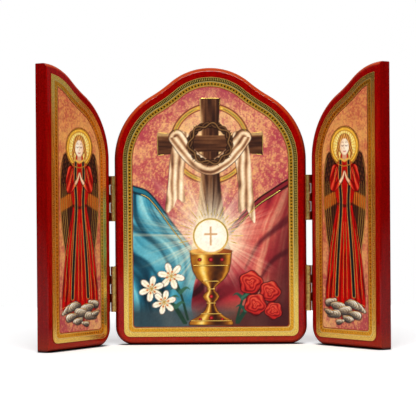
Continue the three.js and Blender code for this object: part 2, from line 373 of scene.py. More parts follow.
def make_lacquer():
    material, tree, shader = new_material(
        "red_gloss_lacquer_on_beech", Roughness=0.4, Specular_IOR_Level=0.0, Coat_Weight=0.38,
        Coat_Roughness=0.08, Coat_IOR=1.48,
    )
    place_in = add_node(tree, "ShaderNodeTexCoord").outputs["Object"]
    stretched = add_node(tree, "ShaderNodeMapping", {"Vector": place_in, "Scale": (1, 1, 0.06)})
    grain = add_node(tree, "ShaderNodeTexNoise", {
        "Vector": stretched.outputs[0], "Scale": 1 / GRAIN_WIDTH, "Detail": 4.0, "Roughness": 0.6,
    })
    speck = add_node(tree, "ShaderNodeTexNoise", {
        "Vector": place_in, "Scale": 1 / SPECK_WIDTH, "Detail": 1.0,
    })
    mottle = add_node(tree, "ShaderNodeMix", {
        "Factor": 0.6, "A": grain.outputs["Fac"], "B": speck.outputs["Fac"],
    })
    tone = add_node(tree, "ShaderNodeValToRGB", {"Fac": mottle.outputs[0]})
    tone.color_ramp.elements[0].position, tone.color_ramp.elements[0].color = 0.36, rgba("#700201")
    tone.color_ramp.elements[1].position, tone.color_ramp.elements[1].color = 0.64, rgba("#9a0403")
    # Painted light: a lighter orange red where the front round faces up, standing in for light from above,
    # and a little of it in the lowest centimetre, standing in for the lit table's reflection.
    painted_top_light = add_node(tree, "ShaderNodeAttribute", attribute_name="painted_top_light").outputs["Fac"]
    low = add_node(tree, "ShaderNodeMapRange", {
        "Value": add_node(tree, "ShaderNodeSeparateXYZ", {"Vector": place_in}).outputs["Z"],
        "From Min": 0.0, "From Max": PAINTED_BOUNCE_HEIGHT, "To Min": 0.3, "To Max": 0.0,
    })
    painted_warm_light = add_node(tree, "ShaderNodeMath", {0: painted_top_light, 1: low.outputs[0]}, operation="MAXIMUM")
    edge = add_node(tree, "ShaderNodeMix", {
        "Factor": painted_warm_light.outputs[0], "A": tone.outputs["Color"], "B": rgba("#bd4418"),
    }, data_type="RGBA")
    # Painted shade: a near-black red on the foot under its round, on the roundings that do not face up and
    # on a wing's free edge.
    dark = add_node(tree, "ShaderNodeAttribute", attribute_name="dark").outputs["Fac"]
    painted_shade_mix = add_node(tree, "ShaderNodeMix", {
        "Factor": dark, "A": edge.outputs[2], "B": rgba("#1c0402"),
    }, data_type="RGBA")
    tree.links.new(painted_shade_mix.outputs[2], shader.inputs["Base Color"])
    peel = add_node(tree, "ShaderNodeTexNoise", {
        "Vector": place_in, "Scale": 1 / PEEL_WIDTH, "Detail": 2.0,
    })
    bump = add_node(tree, "ShaderNodeBump", {
        "Height": peel.outputs["Fac"], "Strength": 0.06, "Distance": 0.2 * MM,
    })
    tree.links.new(bump.outputs[0], shader.inputs["Coat Normal"])
    return material


lacquer = make_lacquer()
print("finish:", lacquer.name)


# %% The board's rings
def round_over(radius, depth):
    """How far a quarter round of a given radius stands in from the edge at a depth below the
    face that it runs into: the radius less the root of its square less the square of what is
    left of it at that depth."""
    left = np.clip(radius - depth, 0, None)
    return radius - math.sqrt(radius**2 - left**2)


def board_rings(wing):
    """Rings of points from the front face to the back face. Depths follow the quarter rounds,
    and at each depth the outline stands in by the round there. A wing's free edge has its own
    smaller round."""
    quarter = 1 - np.cos(np.linspace(0, math.pi / 2, 11))
    near = np.unique(np.round(np.append(FRONT_ROUND * quarter, FREE_EDGE_EASE * quarter[::2]), 7))
    far = THICKNESS - np.unique(np.append(BACK_EASE * quarter[::2], FREE_EDGE_EASE * quarter[::2]))
    s = even_steps(1.5 * MM, inset=0, corner=CORNER_RADIUS, bottom=0)
    rings = []
    for depth in np.concatenate([near, far[::-1]]):
        inset = round_over(FRONT_ROUND, depth) + round_over(BACK_EASE, THICKNESS - depth)
        shape = {"inset": inset, "corner": CORNER_RADIUS - inset, "bottom": inset}
        if wing:
            eased = round_over(FREE_EDGE_EASE, min(depth, THICKNESS - depth))
            shape |= {"free": WING_KERF / 2 + eased, "tip": TIP_EASE, "foot": TIP_EASE}
        loop = closed_loop(s, **shape)[:-1]
        rings.append(np.column_stack([loop[:, 0], np.full(len(loop), depth), loop[:, 1]]))
    return np.array(rings)


def mark_coat(mesh, rings, wing):
    """Two marks for the lacquer at each point, painted light and painted shade. The first is
    painted light on the front round: from a tenth of its turn on, and only as far as the outline
    faces up towards the light from above. The second is painted shade: the lowest millimetre,
    under the round, less of it on the roundings that do not face up, and on a wing's free edge."""
    turned_by = np.arccos(np.clip(1 - rings[..., 1] / FRONT_ROUND, 0, 1)) / (math.pi / 2)
    loop = rings[len(rings) // 2]
    step = np.roll(loop, -1, 0) - np.roll(loop, 1, 0)
    faces_up = np.clip(-step[:, 0] / np.linalg.norm(step, axis=1) * 1.3, 0, 1)
    behind = np.clip((rings[..., 1] - FRONT_ROUND) / (THICKNESS - FRONT_ROUND), 0, 1)
    # Painted light on the front round, only as far as it faces up towards the light from above.
    painted_top_light = np.clip((turned_by - 0.1) / 0.25, 0, 1) * faces_up * (1 - 0.7 * behind)
    if wing:
        painted_top_light[:, loop[:, 0] < WING_KERF] = 0
    # Painted shade on the foot, on the roundings that do not face up and on a wing's free edge.
    dark = np.clip(1.6 - rings[..., 2] / (1 * MM), 0, 1)
    deep = 0.62 * np.clip((turned_by - 0.12) / 0.5, 0, 1) * (1 - faces_up)
    if wing:
        deep[:, loop[:, 0] < WING_KERF] = 0
        deep = np.maximum(deep, 0.26 * (rings[..., 0] < WING_KERF / 2 + FREE_EDGE_EASE / 2))
    dark = np.maximum(dark, deep)
    for name, values in (("painted_top_light", painted_top_light), ("dark", dark)):
        mesh.attributes.new(name, "FLOAT", "POINT").data.foreach_set("value", values.ravel())


# %% Make the three boards
FLAT_MARGIN = 0.3 * MM


def clear_flats(mesh):
    """No marks on the flat faces: front and back are plain."""
    points = np.empty(len(mesh.vertices) * 3)
    mesh.vertices.foreach_get("co", points)
    depth = points[1::3]
    flat = (depth < FLAT_MARGIN / 100) | (depth > THICKNESS - FLAT_MARGIN / 100)
    for name in ("painted_top_light", "dark"):
        values = np.empty(len(depth))
        mesh.attributes[name].data.foreach_get("value", values)
        mesh.attributes[name].data.foreach_set("value", np.where(flat, 0, values))


def guard_flats(work):
    """A narrow rim inside each large flat face, so that smooth shading stays in the rim."""
    large = [face for face in work.faces if face.calc_area() > (20 * MM) ** 2]
    bmesh.ops.inset_individual(work, faces=large, thickness=FLAT_MARGIN)


for body in BODIES:
    node = "centre_board" if body == "centre" else f"{body}_board"
    rings = board_rings(wing=body != "centre")
    count = rings.shape[1]
    faces = list(grid_faces(len(rings), count, closed=True))
    faces += [np.arange(count), np.arange(count)[::-1] + count * (len(rings) - 1)]
    mesh = make_mesh(f"{node}_wood", rings.reshape(-1, 3), faces)
    mark_coat(mesh, rings, wing=body != "centre")
    edit_mesh(mesh, guard_flats)
    clear_flats(mesh)
    finish_piece(mesh, body, [lacquer], [node])
    print(mesh.name, len(mesh.polygons), "faces")

# %% [markdown]
# ## The plates and their foil frames
#
# Each plate is a thin stamped sheet. Its foil frame is a ring between two outlines, one
# inside the other. Both are drawn with the same values of s, so each point of one has its
# partner on the other, and the ring between them unrolls to a straight band. The band's
# texture map is that unrolled shape in metres, along and across, so the ornament can be laid
# out on it as on a ruler. A ring cut out of a texture on flat coordinates would not follow
# the curves.

# %% Plate and frame measures
FRAME_WIDTH = 5.4 * MM
FRAME_INNER_CORNER = 1.5 * MM
PLATE_CORNER = 3.5 * MM
WING_PLATE_FREE = WING_KERF / 2 + 3.5 * MM
FILM = 0.03 * MM
LINE_FILM = 0.02 * MM
OUTER_LINE = {
    "inset": PLATE_MARGIN + 0.1 * MM, "corner": PLATE_CORNER, "bottom": PLATE_BOTTOM,
    "drop": 0.45 * MM,
}
INNER_LINE = {
    "inset": PLATE_MARGIN + FRAME_WIDTH, "corner": FRAME_INNER_CORNER,
    "bottom": PLATE_BOTTOM + FRAME_WIDTH, "drop": 0.75 * MM,
}


def line_at(v, free=None):
    """The loop at v across the frame, 0 at its outer line and 1 at its inner one."""
    s = even_steps(1.0 * MM, **OUTER_LINE)
    both = []
    for shape, shift in ((OUTER_LINE, 0), (INNER_LINE, FRAME_WIDTH)):
        cut = {} if free is None else {"free": free + shift, "foot": shape["corner"]}
        both.append(closed_loop(s, **shape, **cut))
    return both[0] + (both[1] - both[0]) * np.reshape(v, (-1, 1, 1))


# %% A film: a closed thin sheet with a texture map
def give_map(mesh, values):
    """A texture map from two values for each point of the mesh's faces, corner by corner."""
    layer = mesh.uv_layers.new(name="band")
    layer.uv.foreach_set("vector", np.asarray(values, np.float32).ravel())


def band_film(name, lines, across, front, back):
    """A band between its lines, each an equal run of points. The band is as deep as from
    front to back. Its map holds the length along the middle line and the place across."""
    count = lines.shape[1]
    rails = np.concatenate([lines, lines[::-1]])
    depth = np.repeat([front, back], len(lines))
    points = np.stack([rails[..., 0], np.broadcast_to(depth[:, None], rails.shape[:2]),
                       rails[..., 1]], -1)
    middle = lines.mean(0)
    run = np.append(0, np.cumsum(np.linalg.norm(np.diff(middle, axis=0), axis=1)))
    place_across = np.concatenate([across, across[::-1]])
    maps = np.stack(np.broadcast_arrays(run[:, None], place_across[None, :]), -1).reshape(-1, 2)
    points = points.transpose(1, 0, 2).reshape(-1, 3)
    faces = grid_faces(count, len(rails), closed=True)
    mesh = make_mesh(name, points, faces)
    give_map(mesh, maps[faces.ravel()])
    return edit_mesh(mesh, weld)


# %% Plain foil
# Gold hot-stamping foil: a metal skin a few hundredths of a micrometre thick, pressed on
# paper board, so it shines softly and shows the board's tooth as fine sparkle.
FOIL_TOOTH = 0.5 * MM
FOIL_DARK, FOIL_LIGHT = "#e6bd54", "#fadb74"


def make_foil():
    material, tree, shader = new_material("gold_stamping_foil", Metallic=1.0, Roughness=0.3)
    place_in = add_node(tree, "ShaderNodeTexCoord").outputs["Object"]
    tooth = add_node(tree, "ShaderNodeTexNoise", {
        "Vector": place_in, "Scale": 1 / FOIL_TOOTH, "Detail": 2.0,
    })
    tone = add_node(tree, "ShaderNodeValToRGB", {"Fac": tooth.outputs["Fac"]})
    tone.color_ramp.elements[0].position, tone.color_ramp.elements[0].color = 0.3, rgba(FOIL_DARK)
    tone.color_ramp.elements[1].position, tone.color_ramp.elements[1].color = 0.7, rgba(FOIL_LIGHT)
    tree.links.new(tone.outputs["Color"], shader.inputs["Base Color"])
    bump = add_node(tree, "ShaderNodeBump", {
        "Height": tooth.outputs["Fac"], "Strength": 0.6, "Distance": 0.04 * MM,
    })
    tree.links.new(bump.outputs[0], shader.inputs["Normal"])
    return material


foil = make_foil()

# %% The foil frame's ornament
# Bands across the frame, from its outer edge in: a smooth polished band crossed by short
# bars, a light line, a matt band with a row of small flowers, a light line, and a thin red
# one along the picture. The bars are stamped matt, and the flowers are stamped smooth and
# printed over in brown. Each place is given in millimetres from the outer edge.
FRAME_BANDS = (
    (0.0, "#ffdc78", 0.32), (0.25, "#ffdc70", 0.17), (2.15, "#ffe690", 0.3), (2.65, "#fbb938", 0.31),
    (4.5, "#ffe082", 0.3), (4.95, "#c0501c", 0.36),
)
BAR_PITCH = 0.95 * MM
BAR_BAND = (0.55 * MM, 1.75 * MM)
FLOWER_PITCH = 1.9 * MM
FLOWER_LINE = 3.62 * MM
FLOWER_RADIUS = 0.52 * MM


def make_frame_foil():
    material, tree, shader = new_material("ornamented_stamping_foil", Metallic=1.0)
    spot = add_node(tree, "ShaderNodeSeparateXYZ", {
        "Vector": add_node(tree, "ShaderNodeUVMap", uv_map="band").outputs["UV"],
    })
    u, v = spot.outputs["X"], spot.outputs["Y"]
    across = add_node(tree, "ShaderNodeMath", {0: v, 1: FRAME_WIDTH}, operation="DIVIDE")
    colours = add_node(tree, "ShaderNodeValToRGB", {"Fac": across.outputs[0]})
    roughs = add_node(tree, "ShaderNodeValToRGB", {"Fac": across.outputs[0]})
    for ramp_node in (colours, roughs):
        ramp_node.color_ramp.interpolation = "CONSTANT"
        ramp_node.color_ramp.elements.remove(ramp_node.color_ramp.elements[1])
    for place_mm, code, rough in FRAME_BANDS:
        at = place_mm * MM / FRAME_WIDTH
        for ramp_node, value in ((colours, rgba(code)), (roughs, (rough, rough, rough, 1))):
            elements = ramp_node.color_ramp.elements
            stop = elements[0] if at == 0 else elements.new(at)
            stop.color = value

    # Bars: a triangle wave along the band, cut at a level, inside the band's limits.
    wave = add_node(tree, "ShaderNodeMath", {0: u, 1: BAR_PITCH / 2}, operation="PINGPONG")
    bar = add_node(tree, "ShaderNodeMath", {0: wave.outputs[0], 1: BAR_PITCH * 0.17},
                   operation="LESS_THAN")
    low, high = BAR_BAND
    middle = add_node(tree, "ShaderNodeMath", {0: v, 1: (low + high) / 2, 2: (high - low) / 2},
                      operation="COMPARE")
    bars = add_node(tree, "ShaderNodeMath", {0: bar.outputs[0], 1: middle.outputs[0]},
                    operation="MULTIPLY")

    # Flowers: the distance from the nearest flower's middle, against a radius that swells
    # five times round it.
    along_by = add_node(tree, "ShaderNodeMath", {0: u, 1: FLOWER_PITCH}, operation="FLOORED_MODULO")
    x = add_node(tree, "ShaderNodeMath", {0: along_by.outputs[0], 1: FLOWER_PITCH / 2},
                 operation="SUBTRACT").outputs[0]
    y = add_node(tree, "ShaderNodeMath", {0: v, 1: FLOWER_LINE}, operation="SUBTRACT").outputs[0]
    away = add_node(tree, "ShaderNodeVectorMath", {
        0: add_node(tree, "ShaderNodeCombineXYZ", {"X": x, "Y": y}).outputs[0],
    }, operation="LENGTH").outputs["Value"]
    turn = add_node(tree, "ShaderNodeMath", {0: y, 1: x}, operation="ARCTAN2").outputs[0]
    five = add_node(tree, "ShaderNodeMath", {0: turn, 1: 5.0}, operation="MULTIPLY").outputs[0]
    swell = add_node(tree, "ShaderNodeMath", {0: five}, operation="COSINE").outputs[0]
    petal = add_node(tree, "ShaderNodeMath", {0: swell, 1: 0.3 * FLOWER_RADIUS, 2: FLOWER_RADIUS},
                     operation="MULTIPLY_ADD").outputs[0]
    flower = add_node(tree, "ShaderNodeMath", {0: away, 1: petal}, operation="LESS_THAN").outputs[0]

    tooth = add_node(tree, "ShaderNodeTexNoise", {
        "Vector": add_node(tree, "ShaderNodeTexCoord").outputs["Object"], "Scale": 1 / FOIL_TOOTH,
        "Detail": 2.0,
    }).outputs["Fac"]
    tooth_specks = add_node(tree, "ShaderNodeMapRange", {
        "Value": tooth, "From Min": 0.46, "From Max": 0.7, "To Min": 0.0, "To Max": 0.55,
    }).outputs[0]
    strength = add_node(tree, "ShaderNodeMath", {0: flower, 1: 0.3, 2: tooth_specks},
                        operation="MULTIPLY_ADD", use_clamp=True)
    printed = add_node(tree, "ShaderNodeMix", {
        "Factor": strength.outputs[0], "A": colours.outputs["Color"], "B": rgba("#a8641c"),
    }, data_type="RGBA")
    tree.links.new(printed.outputs[2], shader.inputs["Base Color"])
    matt = add_node(tree, "ShaderNodeMath", {0: bars.outputs[0], 1: 0.13, 2: roughs.outputs["Color"]},
                    operation="MULTIPLY_ADD")
    gloss = add_node(tree, "ShaderNodeMath", {0: flower, 1: -0.18, 2: matt.outputs[0]},
                     operation="MULTIPLY_ADD")
    tree.links.new(gloss.outputs[0], shader.inputs["Roughness"])
    bump = add_node(tree, "ShaderNodeBump", {
        "Height": tooth, "Strength": 0.4, "Distance": 0.03 * MM,
    })
    tree.links.new(bump.outputs[0], shader.inputs["Normal"])
    return material


frame_foil = make_frame_foil()

# %% The picture's finish
# Four-colour litho print on the same foil board under a thin satin varnish.


def make_print():
    material, tree, shader = new_material(
        "varnished_litho_print", Roughness=0.35, IOR=1.45, Specular_IOR_Level=0.15,
    )
    colour = add_node(tree, "ShaderNodeAttribute", attribute_name="paint")
    tree.links.new(colour.outputs["Color"], shader.inputs["Base Color"])
    return material


picture_print = make_print()


# %% [markdown]
# ## The pictures
#
# A print like this is a litho made from a painting. Each picture here is painted by formulas:
# for every point of a fine grid of the plate, brushes say how much paint lies there and in
# which colour, from the ground up, as a painter works. The colours end in an attribute of
# the grid's points. A tangle of shader nodes could draw the same, but arrays are easier to
# read, and gold line work is laid on top as real foil.

# %% Brushes
def cover(distance, edge=0.4):
    """How much paint lies at a signed distance in millimetres, negative inside: all of it
    inside, none outside, and an even fade across the edge's width."""
    return np.clip(0.5 - distance / edge, 0, 1)


def blotches(x, z, size, seed):
    """Smooth random blotches of a size: random heights at the corners of a square lattice,
    blended across each square with the smooth step t * t * (3 - 2 t)."""
    heights = np.random.default_rng(seed).random((64, 64))
    u, v = np.broadcast_arrays(x / size, z / size)
    i, j = np.floor(u).astype(int), np.floor(v).astype(int)
    f, g = u - i, v - j
    f, g = f * f * (3 - 2 * f), g * g * (3 - 2 * g)
    low = heights[i % 64, j % 64] * (1 - f) + heights[(i + 1) % 64, j % 64] * f
    high = heights[i % 64, (j + 1) % 64] * (1 - f) + heights[(i + 1) % 64, (j + 1) % 64] * f
    return low * (1 - g) + high * g


def smooth_path(points, closed=False, steps=7):
    """A smooth path through points. Between two of them it is the Catmull-Rom cubic, whose
    slope at each point is half the step from the point before to the point after."""
    p = np.asarray(points, float)
    if closed:
        p = np.vstack([p[-1], p, p[:2]])
    else:
        p = np.vstack([2 * p[0] - p[1], p, 2 * p[-1] - p[-2]])
    t = np.linspace(0, 1, steps, endpoint=False)[:, None]
    pieces = []
    for a, b, c, d in zip(p, p[1:], p[2:], p[3:]):
        cubic = (2 * a - 5 * b + 4 * c - d) * t**2 + (3 * b - a - 3 * c + d) * t**3
        pieces.append((2 * b + (c - a) * t + cubic) / 2)
    return np.vstack([*pieces, p[-2]])


def path_gap(x, z, path, reach=6.0):
    """How far each point is from a path, and how far along the path it is, from 0 to 1.
    Points beyond the path's box and its reach count as far away."""
    gap, along = np.full(x.shape, 99.0), np.zeros(x.shape)
    low, high = path.min(0) - reach, path.max(0) + reach
    near = (x > low[0]) & (x < high[0]) & (z > low[1]) & (z < high[1])
    px, pz = x[near], z[near]
    best, where = gap[near], along[near]
    for k, (a, b) in enumerate(zip(path, path[1:])):
        way = b - a
        t = np.clip(((px - a[0]) * way[0] + (pz - a[1]) * way[1]) / max(way @ way, 1e-12), 0, 1)
        there = np.hypot(px - a[0] - t * way[0], pz - a[1] - t * way[1])
        where = np.where(there < best, (k + t) / (len(path) - 1), where)
        best = np.minimum(there, best)
    gap[near], along[near] = best, where
    return gap, along


def area(x, z, points, edge=0.4):
    """The cover of a smooth closed shape: the distance to its outline, negative where a ray
    to the right crosses the outline an odd number of times."""
    path = smooth_path(points, closed=True)
    gap, _ = path_gap(x, z, path)
    odd = np.zeros(x.shape, bool)
    for a, b in zip(path, path[1:]):
        if a[1] != b[1]:
            level = (a[1] > z) != (b[1] > z)
            odd ^= level & (x < a[0] + (z - a[1]) * (b[0] - a[0]) / (b[1] - a[1]))
    return cover(np.where(odd, -gap, gap), edge)


def stroke(x, z, points, start, end=None, edge=0.35):
    """The cover of a brush stroke along a smooth path, whose width runs from start to end."""
    gap, along = path_gap(x, z, smooth_path(points))
    wide = start + ((start if end is None else end) - start) * along
    return cover(gap - wide / 2, edge)


def ramp(value, *codes):
    """Colours along an even scale of sRGB colours, at values from 0 to 1."""
    stops = np.array([srgb(code) for code in codes])
    at = np.clip(value, 0, 1) * (len(stops) - 1)
    return np.stack([np.interp(at, np.arange(len(stops)), stops[:, i]) for i in range(3)], -1)


def srgb(code):
    return np.array([int(code[i:i + 2], 16) / 255 for i in (1, 3, 5)])


def lay(canvas, amount, colour):
    """Lays a colour on the canvas, as strongly as its cover says."""
    if isinstance(colour, str):
        colour = srgb(colour)
    canvas += np.broadcast_to(amount, len(canvas))[:, None] * (colour - canvas)


# %% Cloth, clouds and the mottled ground
def mottled_ground(x, z, glow):
    """Rose and gold leaf rubbed into each other: broad blotches set the colour, and small
    upright dabs of gold break it up. glow from 0 to 1 adds gold."""
    broad = blotches(x, z, 13, 1) * 0.45 + blotches(x, z, 6, 2) * 0.3 + blotches(x, z, 2.5, 5) * 0.25
    dabs = blotches(x, z * 0.75, 0.75, 3) * 0.5 + blotches(x, z, 0.42, 4) * 0.5
    canvas = ramp(broad * 1.3 + 0.3 * glow - 0.2, "#9a3244", "#a84048", "#b65550", "#c47460", "#d89a6c")
    lay(canvas, np.clip((dabs - 0.66 + 0.34 * broad + 0.25 * glow) * 2.8, 0, 0.65), "#e4b068")
    lay(canvas, np.clip((0.38 - dabs) * 3, 0, 0.4), "#97323a")
    return canvas


def cloth(x, z, gather, count, bend, seed, *codes):
    """Folds that fan out from where the cloth is gathered. Broad and narrow random ridges run
    along the angle about that point, which slow blotches bend, and they change a little with
    the distance from it. A steep curve between dark and light makes the folds crisp."""
    angle = np.arctan2(x - gather[0], gather[1] - z)
    away = np.hypot(x - gather[0], z - gather[1])
    turn = angle * count + bend * (blotches(x, z, 24, seed) - 0.5)
    broad = blotches(turn, away / 30, 1.0, seed + 1)
    narrow = blotches(turn * 2.7, away / 18, 1.0, seed + 2)
    fine = blotches(turn * 7, away / 12, 1.0, seed + 3)
    shade = 0.55 * broad + 0.32 * narrow + 0.13 * fine
    shade = 0.5 + 1.5 * (shade - 0.5) + 0.25 * (blotches(x, z, 16, seed + 4) - 0.5)
    return ramp(shade, *codes)


# %% The centre picture
GLORY = (0.0, 60.0)
CROSSING = (0.0, 111.0)
RIGHT_HEM = ((50, 95), (43, 91), (35, 86), (26, 80), (17, 71), (8, 62), (-2, 56), (-10, 49))
LEFT_HEM = ((-50, 92), (-43, 88), (-35, 85), (-28, 77), (-21, 67), (-14, 58), (-8.5, 50), (-8, 40))


def paint_centre(x, z):
    """A cross with a linen cloth over its arms and a crown of thorns, and under it a chalice
    and a wafer in a glory, between two hangings, with lilies and roses at the foot."""
    far = np.hypot(x - CROSSING[0], z - CROSSING[1])
    canvas = mottled_ground(x, z, np.clip(1 - far / 36, 0, 1))
    lay(canvas, np.clip((z - 126) / 40, 0, 0.5), "#8e2c44")
    beam = 0.5 + 0.5 * np.cos(np.arctan2(z - CROSSING[1], x) * 16)
    lay(canvas, np.exp(-((far / 15) ** 2)) * 0.8, "#f3d79a")
    lay(canvas, np.clip(1.25 - far / 27, 0, 1) * beam**2 * 0.5, "#efcb86")
    lay(canvas, cover(np.abs(far - 20.6) - 1.0), "#d29a3c")
    lay(canvas, cover(np.abs(far - 22.0) - 0.35), "#6e3420")
    lay(canvas, cover(np.abs(far - 19.3) - 0.25), "#6e3420")

    # The two hangings, teal on one side and crimson on the other, with dark gathered edges.
    teal = cloth(x, z, (-62, 135), 15, 3.0, 11, "#071c28", "#164a5e", "#35869c", "#63b0bd", "#a5d6d6")
    crimson = cloth(x, z, (66, 130), 15, 3.4, 21, "#2e080e", "#701620", "#a42a30", "#c04c42", "#dc8a6c")
    fold_dark = np.clip((np.abs(x) - 26) / 22 + (46 - z) / 90, 0, 0.8)
    right = area(x, z, [*RIGHT_HEM, (-14, 40), (-16, 28), (-16, 16), (-16, 0), (60, 0), (60, 95)])
    lay(canvas, right, crimson)
    lay(canvas, right * fold_dark * (x > 0), "#3a0f14")
    left = area(x, z, [*LEFT_HEM, (-10, 30), (-11, 20), (-10, 0), (-60, 0), (-60, 92)])
    lay(canvas, left, teal)
    for line, lining, shade in ((RIGHT_HEM, "#7c1c24", "#22080c"), (LEFT_HEM, "#22687a", "#081e28")):
        lower = [(px, pz - 1.6) for px, pz in line]
        lay(canvas, stroke(x, z, lower, 3.4, 2.2), lining)
        lay(canvas, stroke(x, z, [(px, pz - 3.4) for px, pz in line], 1.5, 0.8) * 0.8, shade)
        lay(canvas, stroke(x, z, line, 0.9, 0.7), shade)
    for line, wide, shade in (
        ([(-44, 66), (-36, 60), (-28, 53), (-22, 42)], 3.4, "#0b3344"),
        ([(-44, 50), (-35, 45), (-27, 34)], 3.0, "#0b3040"),
        ([(44, 70), (35, 63), (26, 55), (19, 42)], 4.0, "#4a1018"),
        ([(44, 52), (34, 46), (26, 34)], 3.4, "#3e0e14"),
    ):
        lay(canvas, stroke(x, z, line, wide, 0.8, edge=1.6) * 0.75, shade)

    # The ground at the foot: slate on one side, dark brown on the other.
    stone = ramp(0.5 + x / 70 + 0.3 * (blotches(x, z, 6, 31) - 0.5),
                 "#2c4048", "#4c5658", "#5a3a32", "#421a1c")
    lay(canvas, np.clip((25 - z) / 8, 0, 0.95), stone)

    # The cross, with the grain along each beam.
    upright_beam = np.abs(x) - (4.6 + 0.0018 * (z - CROSSING[1]) ** 2)
    lay(canvas, cover(np.maximum(upright_beam, np.maximum(z - 136, 50 - z)) - 0.1, 0.5),
        wood(x, z, x + 4.8))
    cross_beam = np.abs(z - CROSSING[1]) - (4.4 + 0.0024 * x**2)
    lay(canvas, cover(np.maximum(cross_beam, np.abs(x) - 29) - 0.1, 0.5),
        wood(z, x, CROSSING[1] + 4.6 - z))

    # The linen: two tails over the arms and a swag between them.
    for tail in (
        [(-25, 74), (-23.4, 90), (-22, 105), (-19, 116), (-12.5, 116.5), (-13.6, 104), (-15, 92),
         (-14.4, 79), (-18.6, 80.5), (-21, 75.5)],
        [(24.4, 68), (23.2, 86), (21.6, 104), (19, 116), (12.5, 116.5), (13.4, 104), (15.4, 88),
         (15.6, 73), (19.4, 75), (22, 69.5)],
    ):
        lay(canvas, area(x, z, tail) * 0.9, "#4a2a1c")
        lay(canvas, area(x - 0.3, z, tail), linen(x, z, x))
    swag = smooth_path([(-18.5, 114.5), (-10.5, 104), (0, 98), (10.5, 104), (18.5, 114.5)])
    gap, _ = path_gap(x, z, swag)
    above = np.where(z > np.interp(x, swag[:, 0], swag[:, 1]), 1, -1) * gap
    lay(canvas, cover(gap - 4.5), "#4a2a1c")
    lay(canvas, cover(gap - 4.1), linen(x, z, above))
    paint_thorns(canvas, x, z)

    # The glory over the hangings.
    r = np.hypot(x - GLORY[0], z - GLORY[1])
    turn = np.arctan2(z - GLORY[1], x)
    fine = blotches(turn * 24, 1.5, 1, 41) * 0.6 + blotches(turn * 55, 3.5, 1, 42) * 0.4
    length = (20 + 30 * blotches(turn * 8, 2.5, 1, 43)) * np.where(x > 0, 0.78, 1)
    rays = np.clip(fine * 2.6 - 0.75, 0, 1) * np.clip(1.12 - r / length, 0, 1) ** 0.8
    below = np.clip((z - 14) / 16, 0, 1)
    lay(canvas, rays * 0.84 * below, "#f3dab0")
    lay(canvas, np.exp(-((r / 15.5) ** 2)) * below, "#fdf3d6")

    paint_chalice(canvas, x, z)
    paint_flowers(canvas, x, z)
    return finish_canvas(canvas, x, z)


def paint_thorns(canvas, x, z):
    """A crown of thorns: three strands wind round a ring, each a sine wave about it, and
    short thorns stand out from them."""
    far = np.hypot(x - CROSSING[0], (z - CROSSING[1]) * 1.06)
    turn = np.arctan2(z - CROSSING[1], x)
    for k in range(22):
        way = k * 2 * math.pi / 22 + 0.1
        lean = way + (0.5 if k % 2 else -0.45)
        start = np.array(CROSSING) + 11 * np.array([math.cos(way), math.sin(way) / 1.06])
        tip = start + (2.9 if k % 3 else -2.4) * np.array([math.cos(lean), math.sin(lean)])
        lay(canvas, stroke(x, z, [start, tip], 1.0, 0.1), "#2a160e")
    for phase, shade, light in ((0, "#1e0f0a", "#4c2f1c"), (2.1, "#24130c", "#6a4528"),
                                (4.2, "#2a170e", "#8a6238")):
        off = far - 11 - 1.15 * np.sin(7 * turn + phase)
        lay(canvas, cover(np.abs(off) - 0.85), shade)
        lay(canvas, cover(np.abs(off - 0.2) - 0.32), light)


def wood(along_x, along_z, lit):
    """Dark wood: streaks twelve times as long as wide, lighter along its lit edge."""
    streaks = blotches(along_x, along_z / 12, 0.8, 51) * 0.6 + blotches(along_x, along_z / 9, 2.2, 52) * 0.4
    return ramp(streaks * 0.75 + 0.55 * np.exp(-lit / 1.2) - 0.05, "#1f100c", "#3d2115", "#5c3620",
                "#7d5233", "#b08a5c")


def linen(x, z, across):
    """Cream cloth with soft folds along its run."""
    wave = 0.5 + 0.5 * np.cos(across * 1.7 + 3.0 * blotches(x, z, 8, 61))
    return ramp(0.1 + 0.7 * wave + 0.35 * (blotches(x, z, 4, 62) - 0.4), "#5e3826", "#a2734e", "#d2ab82",
                "#e8cca4", "#f8e8cc")


CUP_RAISE = 4.5


